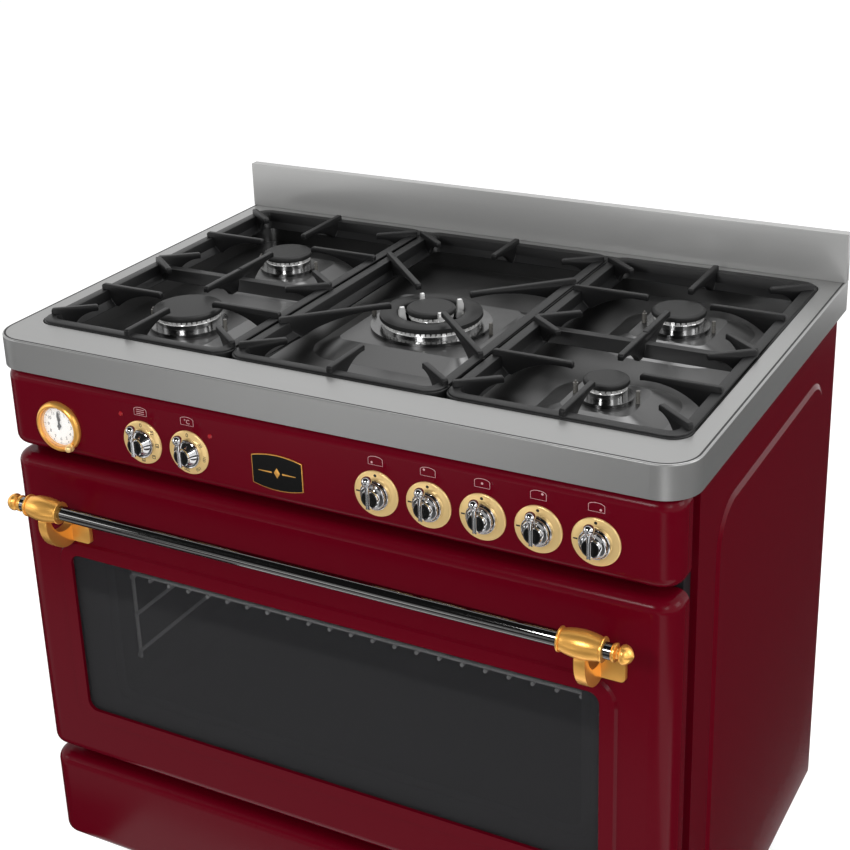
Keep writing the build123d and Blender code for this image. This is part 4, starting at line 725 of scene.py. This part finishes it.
def round_scale(centre, radius, hour_angle):
    """A place on a scale, with the angle counted clockwise from the top."""
    angle = math.radians(90 - hour_angle)
    return moved(centre, radius * math.cos(angle), radius * math.sin(angle), PLATE_RISE + PRINT_SINK)


SCALE_RADIUS = 22.2
OFF_DOT_RADIUS = 22.4
OFF_DOT = 1.8
SPARK_MARK = [(-20.2, 0), (-24.8, 0)]
SPARK_WIDTH = 1.8
ZERO_SIZE = 7.2
DEGREES_SIZE = 5.4
OVEN_TEMPERATURES = ["50", "100", "150", "200", "250"]
FIRST_TEMPERATURE_ANGLE = 55
SCALE_STEP_ANGLE = 45
SELECTOR_STEPS = 5
MODE_SQUARE = [(-2.0, -2.0), (2.0, -2.0), (2.0, 2.0), (-2.0, 2.0)]
MODE_BAR_HALF = 1.2
MODE_BAR_RISE = 0.7


def make_scale_marks():
    """Black marks on the brass scale plates."""
    bm = bmesh.new()
    for name in GAS_KNOBS:
        print_dot(bm, round_scale(knob_place[name], OFF_DOT_RADIUS, 0), OFF_DOT)
        print_line(bm, SPARK_MARK, round_scale(knob_place[name], 0, 0), SPARK_WIDTH)
    for name in OVEN_KNOBS:
        print_text(bm, "0", round_scale(knob_place[name], SCALE_RADIUS, 0), ZERO_SIZE)
    for number, degrees in enumerate(OVEN_TEMPERATURES):
        turn = FIRST_TEMPERATURE_ANGLE + SCALE_STEP_ANGLE * number
        place = round_scale(knob_place["thermostat_knob"], SCALE_RADIUS, turn)
        print_text(bm, degrees, place, DEGREES_SIZE, math.radians(-turn))
    for number in range(1, SELECTOR_STEPS + 1):
        place = round_scale(knob_place["selector_knob"], SCALE_RADIUS, SCALE_STEP_ANGLE * number)
        print_line(bm, MODE_SQUARE, place, width=1.0, closed=True)
        height = MODE_BAR_RISE if number % 2 else -MODE_BAR_RISE
        print_line(bm, [(-MODE_BAR_HALF, height), (MODE_BAR_HALF, height)], place, width=0.9)
    close_piece("scale_marks", bm, "cabinet", [DARK_PRINT])


SYMBOL_RISE = 39.5
SYMBOL_LIFT = 0.02
SYMBOL_HALF_WIDTH = 9.0
SYMBOL_FOOT = -5.2
SYMBOL_SHOULDER = 1.8
SYMBOL_BOW = 3.4
BOW_STEPS = 15
SYMBOL_LINE = 0.6
BURNER_DOTS = [(-4.6, -2.4), (-4.6, 1.8), (0.0, -0.2), (4.6, 1.8), (4.6, -2.4)]
BURNER_DOT = 1.35
SHELF_LINES = (2.2, -0.4, -3.0)
SHELF_HALF_WIDTH = 5.6
SHELF_LINE = 0.75
DEGREE_SIGN_DROP = 0.9
DEGREE_SIGN_SIZE = 7.6


def make_symbol(bm, name):
    """Small plate outline with a bowed top over a knob; gives back its centre."""
    centre = moved(knob_place[name], 0, SYMBOL_RISE, SYMBOL_LIFT)
    bow = [
        (SYMBOL_HALF_WIDTH * math.cos(a), SYMBOL_SHOULDER + SYMBOL_BOW * math.sin(a))
        for a in (math.pi * step / BOW_STEPS for step in range(BOW_STEPS + 1))
    ]
    foot = [(-SYMBOL_HALF_WIDTH, SYMBOL_FOOT), (SYMBOL_HALF_WIDTH, SYMBOL_FOOT)]
    print_line(bm, foot + bow, centre, SYMBOL_LINE, closed=True)
    return centre


def make_fascia_marks():
    """Pale printed symbols over the knobs."""
    bm = bmesh.new()
    for name, dot in zip(GAS_KNOBS, BURNER_DOTS):
        print_dot(bm, moved(make_symbol(bm, name), *dot), BURNER_DOT)
    shelf_mark = make_symbol(bm, "selector_knob")
    for height in SHELF_LINES:
        print_line(bm, [(-SHELF_HALF_WIDTH, height), (SHELF_HALF_WIDTH, height)], shelf_mark, SHELF_LINE)
    heat_mark = make_symbol(bm, "thermostat_knob")
    print_text(bm, "°C", moved(heat_mark, 0, -DEGREE_SIGN_DROP), DEGREE_SIGN_SIZE)
    close_piece("fascia_marks", bm, "cabinet", [PALE_PRINT])


# Clock

CASE_RADIUS = 33.0
CASE_BACK = -22.0
CASE_BARREL = 27.0
DIAL_SEAT = -1.5
DIAL_SEAT_RADIUS = 25.0
ARBOR_BORE = 2.4
ARBOR_END = -14.0
DIAL_FACE = -0.5
HOUR_NUMBERS = 12
MINUTE_TICKS = 60
MINUTE_RADIUS = 23.2
MINUTE_SIZE = (1.6, 0.28, 0.1)
HOUR_RADIUS = 22.6
HOUR_SIZE = (2.8, 0.8, 0.1)
NUMBER_RADIUS = 17.4
NUMBER_SIZE = 6.0
SETTING_STEM = 1.4
SETTING_DISC = 4.9
SETTING_BALL = 4.6
SETTING_BALL_OUT = 12.2


def make_clock_case():
    """Rolled brass case with a seat for the dial."""
    bm = bmesh.new()
    roll = flowing([(0.6, CASE_RADIUS), (2.6, 32.7), (5.0, 31.5), (6.6, 29.6), (7.0, 28.2)])
    case = [(CASE_BACK, 0), (CASE_BACK, CASE_BARREL), (0, CASE_BARREL), (0, CASE_RADIUS), *roll]
    case += [(6.8, 27.3), (6.0, 26.7), (3.4, 26.5), (3.2, 25.2), (DIAL_SEAT, DIAL_SEAT_RADIUS)]
    case += [(DIAL_SEAT, ARBOR_BORE), (ARBOR_END, ARBOR_BORE), (ARBOR_END, 0)]
    turned(bm, case, clock_place, "out", sides=96)
    close_piece("turned_clock_case", bm, "cabinet", [BRASS], ["clock_case"], crease=40)


def make_dial_marks():
    """Minute ticks, hour ticks and numbers on the dial."""
    bm = bmesh.new()
    face = moved(clock_place, 0, 0, DIAL_FACE + PRINT_DEPTH)
    rings = [(MINUTE_TICKS, MINUTE_RADIUS, MINUTE_SIZE), (HOUR_NUMBERS, HOUR_RADIUS, HOUR_SIZE)]
    for count, radius, size in rings:
        block = tuple(length * MM for length in size)
        ticks = grown(
            RING_OF_BLOCKS, {"Count": count, "Radius": radius * MM, "Size": block, "Finish": DARK_PRINT}
        )
        ticks.transform(facing_matrix(face, "out"))
        take_in(bm, ticks)
    for hour in range(1, HOUR_NUMBERS + 1):
        angle = math.radians(90 - 360 / HOUR_NUMBERS * hour)
        place = moved(face, NUMBER_RADIUS * math.cos(angle), NUMBER_RADIUS * math.sin(angle))
        print_text(bm, str(hour), place, NUMBER_SIZE)
    close_piece("dial_marks", bm, "cabinet", [DARK_PRINT])


def make_clock_knob():
    """Setting knob: stem, disc and ball."""
    bm = bmesh.new()
    back = (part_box("clock_knob")[1].y - fascia_face) / MM
    stem = [(-back, 0), (-back, SETTING_STEM), (7.2, SETTING_STEM), (7.3, SETTING_DISC - 0.7)]
    stem += [(7.7, SETTING_DISC), (9.9, SETTING_DISC), (10.3, SETTING_DISC - 0.7), (10.3, 0)]
    turned(bm, stem, clock_knob_place, "out", sides=40)
    ball(bm, moved(clock_knob_place, 0, 0, SETTING_BALL_OUT), SETTING_BALL)
    close_piece("turned_clock_knob", bm, "clock_knob", [PALE_BRASS], ["clock_knob"], crease=40)


# Badge plate

BADGE_BOW = 5.0
BADGE_STEPS = 24
BADGE_RISE = 1.6
BADGE_RIM = 1.0
LOZENGE = [(0, 6.5), (4.2, 0), (0, -6.5), (-4.2, 0)]
DASH_NEAR = (7.0, 1.0)
DASH_FAR = (25.0, 0.3)


def make_badge():
    """Bare black plate with a gold rim, a plain lozenge and two tapered dashes."""
    low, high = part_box("badge_plate")
    centre = Vector(((low.x + high.x) / 2, fascia_face, (low.z + high.z) / 2))
    half = (high.x - low.x) / MM / 2
    side = (high.z - low.z) / MM / 2 - BADGE_BOW

    def outline(inset):
        """Plate's edge with a bowed top and bottom, drawn in by the inset."""
        top = []
        for step in range(BADGE_STEPS + 1):
            across = (half - inset) * (1 - 2 * step / BADGE_STEPS)
            top.append((across, side - inset + BADGE_BOW * (1 - (across / half) ** 2)))
        return top + [(a, -b) for a, b in reversed(top)]

    bm = bmesh.new()
    slab(bm, outline(0.0), centre, 0.0, BADGE_RISE, finish_number=0, ease=0.4)
    slab(bm, outline(BADGE_RIM), centre, 0.6, BADGE_RISE + 0.15, finish_number=1)
    slab(bm, LOZENGE, centre, BADGE_RISE, BADGE_RISE + 0.5, finish_number=0, ease=0.2)
    for way in (-1, 1):
        upper = [(way * a, b) for a, b in (DASH_NEAR, DASH_FAR)]
        dash = upper + [(a, -b) for a, b in reversed(upper)]
        slab(bm, dash, centre, BADGE_RISE, BADGE_RISE + 0.4, finish_number=0)
    close_piece("plain_badge", bm, "cabinet", [BRASS, BLACK_INLAY], ["badge_plate"])


for knob in GAS_KNOBS + OVEN_KNOBS:
    make_knob(knob)
make_scale_rings()
make_scale_marks()
make_fascia_marks()
make_clock_case()
make_dial_marks()
make_clock_knob()
make_badge()


# Oven door handle

bar_low, bar_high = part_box("handle_bar")
bar_middle = Vector((0, (bar_low.y + bar_high.y) / 2, (bar_low.z + bar_high.z) / 2))
bar_radius = (bar_high.y - bar_low.y) / MM / 2
bar_reach = bar_high.x / MM

BARREL_PLACE = 354.0
BARREL_HALF = 25.0
BARREL_BULGE = 15.6
BARREL_TAPER = 3.4
BARREL_FLANGE = 13.8
BARREL_END_SLACK = 0.2
BARREL_SIDE_SLACK = 0.25
BULGE_HALF = 22.4
BULGE_STEPS = 12
ARM_TUCK = 0.85


def make_handle_bar():
    """Round bar across the door."""
    bm = bmesh.new()
    rod = [(-bar_reach, 0), (-bar_reach, bar_radius), (bar_reach, bar_radius), (bar_reach, 0)]
    turned(bm, rounded(rod, size=0.6), bar_middle, "right", sides=64)
    black_chrome = MATERIALS["black_chrome"]
    close_piece("round_handle_bar", bm, "door", [black_chrome], ["handle_bar"], crease=40)


def make_finials():
    """Turned knob on each end of the bar."""
    bm = bmesh.new()
    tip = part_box("handle_finials")[1].x / MM - bar_reach
    collar = [(-3, 0), (-3, 9.2), (-2, 9.6), (-1.4, 10.2), (0.6, 10.2), (1.2, 9.2)]
    neck = [(2.0, 6.2), (3.6, 5.5), (4.8, 7.4)]
    bulb = flowing([(6.4, 9.8), (9.0, 10.8), (13.0, 9.6), (17.0, 6.0), (tip, 0.01)])[:-1]
    finial = [(bar_reach + along, radius) for along, radius in [*collar, *neck, *bulb, (tip, 0)]]
    for way in ("left", "right"):
        turned(bm, finial, bar_middle, way, sides=56)
    close_piece("turned_finials", bm, "door", [BRASS], ["handle_finials"], crease=40)


def on_barrel(face):
    """True for a face of the solid's own barrels."""
    away = (face.calc_center_median() - bar_middle) / MM
    along = abs(abs(away.x) - BARREL_PLACE)
    out = math.hypot(away.y, away.z)
    return along < BARREL_HALF + BARREL_END_SLACK and out < BARREL_BULGE + BARREL_SIDE_SLACK


def make_brackets():
    """Swan-neck arms and foot plates of the solid, with bulged barrels turned anew."""
    bm = bmesh.new()
    arms = eased_mesh("handle_brackets", BRASS, width=0.7, segments=3)
    bm.from_mesh(arms)
    bpy.data.meshes.remove(arms)
    bmesh.ops.delete(bm, geom=[face for face in bm.faces if on_barrel(face)], context="FACES")
    open_rims = [edge for edge in bm.edges if edge.is_boundary]
    for part in bmesh.ops.extrude_edge_only(bm, edges=open_rims)["geom"]:
        if isinstance(part, bmesh.types.BMVert):
            part.co.yz = bar_middle.yz + (part.co.yz - bar_middle.yz) * ARM_TUCK
    bmesh.ops.holes_fill(bm, edges=[edge for edge in bm.edges if edge.is_boundary])
    flange = [(BARREL_HALF - 2.5, BARREL_FLANGE - 0.5), (BARREL_HALF - 2.0, BARREL_FLANGE)]
    flange += [(BARREL_HALF - 0.6, BARREL_FLANGE), (BARREL_HALF, BARREL_FLANGE - 0.6)]
    flange += [(BARREL_HALF, bar_radius)]
    shares = [step / BULGE_STEPS for step in range(-BULGE_STEPS, BULGE_STEPS + 1)]
    bulge = [(BULGE_HALF * share, BARREL_BULGE - BARREL_TAPER * share ** 2) for share in shares]
    barrel = [(-along, radius) for along, radius in reversed(flange)] + bulge + flange
    for way in (-1, 1):
        place = bar_middle + Vector((way * BARREL_PLACE * MM, 0, 0))
        turned(bm, barrel, place, "right", sides=96, ring=True)
    close_piece("soft_handle_brackets", bm, "door", [BRASS], ["handle_brackets"], crease=40)


make_handle_bar()
make_finials()
make_brackets()


# Hob: grates, backsplash and a dark line painted as shade round the upper edge

GRATE_CORNER = 24.0
GRATE_EASE = 1.0
GRATE_MERGE = 0.6
CREST_TOP = 853.2
CREST_PROFILE = [
    (2.0, 5.0), (2.0, 1.3), (2.4, 0.4), (3.3, 0.0), (13.8, 0.0), (14.6, 0.3), (15.0, 1.1), (17.0, 12.8)
]
SPLASH_EASE = 0.8
RIM_CORNER = 42.0
# Painted shade line: its inset from the edge, its width and the steps of its turn at the corners
SHADE_LINE_INSET = 3.3
SHADE_LINE_WIDTH = 2.4
SHADE_LINE_STEPS = 15
CORNER_STEPS = 8


def corner_loop(half_width, half_depth, radius):
    """Rounded rectangle as (across, along) points, counted from the right rear corner."""
    loop = []
    for quarter, (way_x, way_y) in enumerate([(1, 1), (-1, 1), (-1, -1), (1, -1)]):
        for step in range(CORNER_STEPS + 1):
            angle = math.pi / 2 * (quarter + step / CORNER_STEPS)
            across = way_x * (half_width - radius) + radius * math.cos(angle)
            along = way_y * (half_depth - radius) + radius * math.sin(angle)
            loop.append((across, along))
    return loop


def make_crest(grate):
    """Flat cast rail along the top of a grate's frame."""
    low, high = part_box(grate)
    middle = (low + high) / 2
    half_width, half_depth = (high.x - low.x) / MM / 2, (high.y - low.y) / MM / 2
    bm = bmesh.new()
    rows = []
    for inset, drop in CREST_PROFILE:
        radius = max(GRATE_CORNER - inset, GRATE_CORNER / 2)
        rows.append([
            bm.verts.new((middle.x + across * MM, middle.y + along * MM, (CREST_TOP - drop) * MM))
            for across, along in corner_loop(half_width - inset, half_depth - inset, radius)
        ])
    count = len(rows[0])
    for lower, upper in zip(rows, rows[1:] + rows[:1]):
        for i in range(count):
            j = (i + 1) % count
            bm.faces.new((lower[i], lower[j], upper[j], upper[i]))
    close_piece(f"flat_crest_{grate}", bm, grate, [CAST_IRON])


def make_rim_seam():
    """Painted shade: a dark line along the front and the sides of the hob's upper edge, standing for the shade in
    its groove.
    """
    low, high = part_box("hob_top")
    half = high.x / MM - SHADE_LINE_INSET
    front = low.y / MM + SHADE_LINE_INSET
    rear = high.y / MM - SHADE_LINE_INSET
    turn = RIM_CORNER - SHADE_LINE_INSET
    right = [
        (half - turn + turn * math.cos(a), front + turn - turn * math.sin(a))
        for a in (math.pi / 2 * step / SHADE_LINE_STEPS for step in range(SHADE_LINE_STEPS + 1))
    ]
    edge = [(half, rear), *right, *[(-a, b) for a, b in reversed(right)], (-half, rear)]
    bm = bmesh.new()
    print_line(bm, edge, Vector((0, 0, high.z)), SHADE_LINE_WIDTH, facing="up")
    # The seal rubber's black is used here for the painted shade of the groove, not for a real seal
    close_piece("painted_groove_shade", bm, "cabinet", [MATERIALS["seal_rubber"]])


for grate in GRATES:
    cast = eased_mesh(grate, CAST_IRON, GRATE_EASE, merge=GRATE_MERGE, clamp=False)
    mount(f"soft_{grate}", cast, grate, crease=40, stands_for=[grate])
    make_crest(grate)
splash = eased_mesh("backsplash", SPLASH_STEEL, SPLASH_EASE)
mount("soft_backsplash", splash, "cabinet", crease=40, stands_for=["backsplash"])
# Dark line painted as the shade of the groove round the hob's upper edge
make_rim_seam()


# Burners: (across, along, cap size); the wok ring has an eye as well

BURNERS = [
    (-286.0, -83.5, 90.0), (-286.0, 152.5, 68.0), (286.0, 152.5, 68.0), (286.0, -83.5, 53.0),
    (0.0, 38.5, 63.0),
]
WOK_RING = (0.0, 38.5, 131.0, 84.0)
HEAD_BASE = 827.0
CAP_BASE = 841.0
CAP_TOP = 848.5
RING_DROP = 6.0
CROWN_INSET = 3.0
CROWN_WIDTH = 6.0
PORT_PITCH = 6.5
PORT_WIDTH = 1.9
PORT_DEPTH = 4.0
TOOTH_SINK = 0.2
FIN_OUTLINE = [(32.2, 828.0), (42.4, 828.0), (42.4, 846.0), (40.4, 852.0), (35.2, 852.0)]
FIN_HALF_WIDTH = 2.3


def make_crown(bm, centre, outer, top):
    """Flame crown: a turned wall, dark below and inside, with teeth whose gaps are the ports."""
    inner = outer - CROWN_WIDTH
    land = top - PORT_DEPTH
    wall = [(HEAD_BASE, inner), (HEAD_BASE, outer), (land - 1.2, outer), (land - 0.6, outer)]
    wall += [(land, outer - 0.4), (land, inner)]
    turned(bm, wall, centre, "up", sides=72, finishes=[1, 1, 0, 0, 0, 1], ring=True)
    count = round(2 * math.pi * outer / PORT_PITCH)
    tooth = 2 * math.pi * outer / count - PORT_WIDTH
    teeth = grown(RING_OF_BLOCKS, {
        "Count": count,
        "Radius": (outer - CROWN_WIDTH / 2) * MM,
        "Size": (CROWN_WIDTH * MM, tooth * MM, (PORT_DEPTH + TOOTH_SINK) * MM),
        "Finish": BURNER_ALLOY,
    })
    teeth.transform(Matrix.Translation(centre + Vector((0, 0, (land + PORT_DEPTH / 2) * MM))))
    take_in(bm, teeth)


def make_wok_fins(bm, centre):
    """Four upright fins that hold the inner crown within the ring."""
    for quarter in range(4):
        angle = math.radians(45 + 90 * quarter)
        along = Vector((math.cos(angle), math.sin(angle), 0))
        across = Vector((-math.sin(angle), math.cos(angle), 0))
        near, far = (
            [centre + (along * r + across * thick + Vector((0, 0, z))) * MM for r, z in FIN_OUTLINE]
            for thick in (-FIN_HALF_WIDTH, FIN_HALF_WIDTH)
        )
        bridged(bm, near, far)


def make_burners():
    """Crowns and caps of the five burners and of the wok burner's outer ring."""
    heads = bmesh.new()
    caps = bmesh.new()
    for x, y, cap in BURNERS:
        centre = Vector((x, y, 0)) * MM
        edge = cap / 2
        make_crown(heads, centre, edge - CROWN_INSET, CAP_BASE)
        lid = [(CAP_BASE, 0), (CAP_BASE, edge - 1.2), (CAP_BASE + 1.5, edge), (CAP_TOP - 1.8, edge - 0.6)]
        lid += [(CAP_TOP, edge - 4.5), (CAP_TOP, 0)]
        turned(caps, rounded(lid, size=1.2), centre, "up", sides=80)
    x, y, cap, eye = WOK_RING
    centre = Vector((x, y, 0)) * MM
    edge, inside = cap / 2, eye / 2
    low, high = CAP_BASE - RING_DROP, CAP_TOP - RING_DROP
    make_crown(heads, centre, edge - CROWN_INSET, low)
    ring = [(low, inside), (low, edge - 1.2), (low + 1.5, edge), (high - 1.8, edge - 0.6), (high, edge - 4.0)]
    ring += [(high, inside + 3.0), (high - 1.4, inside + 0.5), (high - 3.0, inside)]
    turned(caps, ring, centre, "up", sides=96, ring=True)
    make_crown(heads, centre, inside + CROWN_WIDTH, low)
    make_wok_fins(heads, centre)
    alloys = [BURNER_ALLOY, MATERIALS["crown_wall"]]
    close_piece("flame_crowns", heads, "cabinet", alloys, ["burner_heads"], crease=40)
    cap_finish = MATERIALS["burner_cap"]
    close_piece("turned_caps", caps, "cabinet", [cap_finish], ["burner_caps"], crease=45)


make_burners()


# Oven inside and rear: wires and screws

SHELF_BARS = 23
SHELF_WIRE = 2.6
FRONT_WIRE = -188.5
UNDER_WIRES = (-12.5, 163.5)
SCREW_INSET = 14.0
SCREW_SINK = 0.4
SCREW_RADIUS = 4.0
SCREW_HEIGHT = 2.4
SCREWS_ACROSS = 7
SCREWS_UP = 6


def make_shelf():
    """Round chrome wires in place of the square ones of the solid."""
    low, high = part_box("wire_shelf")
    radius = SHELF_WIRE * MM
    top = high.z - radius
    bottom = low.z + radius
    half = high.x - radius
    middle = (low.y + high.y) / 2
    bars = [(-half + 2 * half * bar / (SHELF_BARS - 1), middle, bottom) for bar in range(SHELF_BARS)]
    crossing = [(0, FRONT_WIRE * MM, top)] + [(0, y * MM, bottom) for y in UNDER_WIRES]
    bm = bmesh.new()
    for points, length, lie in (
        (bars, high.y - low.y, (math.pi / 2, 0, 0)),
        (crossing, 2 * half, (0, math.pi / 2, 0)),
    ):
        values = {"Radius": radius, "Depth": length, "Lie": lie, "Finish": CHROME_WIRE}
        take_in(bm, grown(WIRES_ON_POINTS, values, points))
    close_piece("round_wire_shelf", bm, "cabinet", [CHROME_WIRE], ["wire_shelf"], crease=50)


def spread_between(low, high, count):
    """Evenly spaced places from low to high."""
    return [low + (high - low) * step / (count - 1) for step in range(count)]


def make_rear_screws():
    """Screws round the edge of the rear panel."""
    low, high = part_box("rear_panel")
    inset = SCREW_INSET * MM
    xs = spread_between(low.x + inset, high.x - inset, SCREWS_ACROSS)
    zs = spread_between(low.z + inset, high.z - inset, SCREWS_UP)
    back = high.y - SCREW_SINK * MM
    points = [(x, back, z) for x in xs for z in (zs[0], zs[-1])]
    points += [(x, back, z) for x in (xs[0], xs[-1]) for z in zs[1:-1]]
    heads = grown(SCREW_HEADS, {
        "Radius": SCREW_RADIUS * MM,
        "Depth": SCREW_HEIGHT * MM,
        "Lie": (-math.pi / 2, 0, 0),
        "Finish": MATERIALS["element_steel"],
    }, points)
    mount("rear_screws", heads, "cabinet", crease=30)


make_shelf()
make_rear_screws()


# Studio: floor, flags, lamps and camera

FLOOR_SIZE = 40.0
FLOOR_DROP = 0.0005
FLOOR_GLOW = 0.42
SKY_LIGHT = 0.72

# Flags: name, low front corner, high rear corner, brightness
FLAGS = [
    ("front_flag", (-3.0, -1.72, 0.001), (0.8, -0.95, 0.001), 0.1),
    ("near_flag", (-3.0, -0.95, 0.001), (0.8, -0.47, 0.001), 0.5),
    ("horizon_flag", (-3.0, -3.21, 0.001), (2.0, -3.2, 0.9), 0.4),
    ("far_left_flag", (-3.0, -3.2, 0.001), (-1.5, -1.72, 0.001), 0.06),
    ("far_right_flag", (-0.45, -3.2, 0.001), (0.8, -1.72, 0.001), 0.06),
    ("corner_flag", (1.25, -3.2, 0.001), (3.0, -0.25, 0.001), 0.03),
    ("right_flag", (0.47, -0.25, 0.001), (3.0, 2.5, 0.001), 0.03),
    ("left_flag", (-3.0, -0.47, 0.001), (-0.47, 2.5, 0.001), 0.03),
    ("canopy_flag", (-3.0, -3.2, 0.9), (2.0, -0.1, 2.9), 0.02),
]

# Lamps: name, place, aim, width, height, watts
LAMPS = [
    ("key_lamp", (2.3, -2.0, 2.3), (0, 0, 0.7), 1.2, 1.2, 26),
    ("glint_lamp", (0.0, -1.75, 1.62), (0.1, -0.3, 0.7), 0.35, 0.35, 10),
    ("fill_lamp", (-2.2, -1.8, 1.8), (0, 0, 0.6), 1.2, 1.4, 12),
    ("side_lamp", (2.4, 0.4, 1.5), (0.45, 0.1, 0.6), 1.0, 1.0, 12),
    ("top_lamp", (0.2, 0.9, 2.9), (0, 0, 0.8), 2.0, 1.0, 18),
]

CAMERA_PLACE = (0.90997, -1.63594, 1.56071)
CAMERA_YAW = 0.5022
CAMERA_PITCH = 0.3682
CAMERA_ROLL = -0.0335
CAMERA_SENSOR = 36.0
CAMERA_LENS = 68.64
CAMERA_SHIFT = -0.12


def seen_factor(tree):
    """Node that gives 1 for rays that show the backdrop: camera, mirror and glass rays."""
    path = tree.nodes.new("ShaderNodeLightPath")
    mirrored = tree.nodes.new("ShaderNodeMath")
    seen = tree.nodes.new("ShaderNodeMath")
    mirrored.operation = "MAXIMUM"
    seen.operation = "MAXIMUM"
    join(
        tree,
        (path, "Is Camera Ray", mirrored, 0),
        (path, "Is Glossy Ray", mirrored, 1),
        (mirrored, "Value", seen, 0),
        (path, "Is Transmission Ray", seen, 1),
    )
    return seen


def make_floor():
    """Pale floor that glows only where the backdrop is seen."""
    bpy.ops.mesh.primitive_plane_add(size=FLOOR_SIZE, location=(0, 0, -FLOOR_DROP))
    floor = bpy.context.object
    floor.name = "studio_floor"
    paint = finish("floor_paint", grey(0.85), 0.8, specular=0.0)
    tree = paint.node_tree
    shader = shader_of(paint)
    set_inputs(shader, {"Emission Color": (1, 1, 1, 1)})
    glow = tree.nodes.new("ShaderNodeMath")
    glow.operation = "MULTIPLY"
    set_inputs(glow, {1: FLOOR_GLOW})
    join(tree, (seen_factor(tree), "Value", glow, 0), (glow, "Value", shader, "Emission Strength"))
    floor.data.materials.append(paint)


def make_flag(name, low, high, level):
    """Card that only mirror-like surfaces see, from its low front edge to its high rear edge."""
    mesh = bpy.data.meshes.new(name)
    (x0, y0, z0), (x1, y1, z1) = low, high
    mesh.from_pydata([(x0, y0, z0), (x1, y0, z0), (x1, y1, z1), (x0, y1, z1)], [], [(0, 1, 2, 3)])
    paint = finish(f"{name}_paint", grey(0), 1.0, specular=0.0)
    set_inputs(shader_of(paint), {"Emission Color": (1, 1, 1, 1), "Emission Strength": level})
    mesh.materials.append(paint)
    card = add_object(name, mesh)
    for ray in ("camera", "diffuse", "transmission", "shadow"):
        setattr(card, f"visible_{ray}", False)


def make_lamp(name, place, aim, width, height, watts):
    """Soft rectangular lamp turned to its aim."""
    lamp = bpy.data.lights.new(name, "AREA")
    lamp.shape = "RECTANGLE"
    lamp.size = width
    lamp.size_y = height
    lamp.energy = watts
    holder = add_object(name, lamp)
    holder.location = place
    holder.rotation_euler = (Vector(aim) - Vector(place)).to_track_quat("-Z", "Y").to_euler()


def make_world():
    """White backdrop with a softer light on the object."""
    world = bpy.data.worlds.new("studio_white")
    scene.world = world
    world.use_nodes = True
    tree = world.node_tree
    back = tree.nodes["Background"]
    set_inputs(back, {"Color": (1, 1, 1, 1)})
    level = tree.nodes.new("ShaderNodeMapRange")
    set_inputs(level, {"To Min": SKY_LIGHT, "To Max": 1.0})
    join(tree, (seen_factor(tree), "Value", level, "Value"), (level, "Result", back, "Strength"))


def make_camera():
    """Camera where the photograph was taken from."""
    forward = Vector((
        -math.sin(CAMERA_YAW) * math.cos(CAMERA_PITCH),
        math.cos(CAMERA_YAW) * math.cos(CAMERA_PITCH),
        -math.sin(CAMERA_PITCH),
    ))
    level = Vector((math.cos(CAMERA_YAW), math.sin(CAMERA_YAW), 0))
    upright = level.cross(forward)
    right = level * math.cos(CAMERA_ROLL) + upright * math.sin(CAMERA_ROLL)
    up = upright * math.cos(CAMERA_ROLL) - level * math.sin(CAMERA_ROLL)
    lens = bpy.data.cameras.new("photo_camera")
    lens.sensor_width = CAMERA_SENSOR
    lens.lens = CAMERA_LENS
    lens.shift_y = CAMERA_SHIFT
    camera = add_object("photo_camera", lens)
    turn = Matrix((right, up, -forward)).transposed().to_4x4()
    camera.matrix_world = Matrix.Translation(CAMERA_PLACE) @ turn
    scene.camera = camera


make_floor()
for flag in FLAGS:
    make_flag(*flag)
make_world()
for lamp_row in LAMPS:
    make_lamp(*lamp_row)
make_camera()
scene.view_settings.view_transform = "Standard"
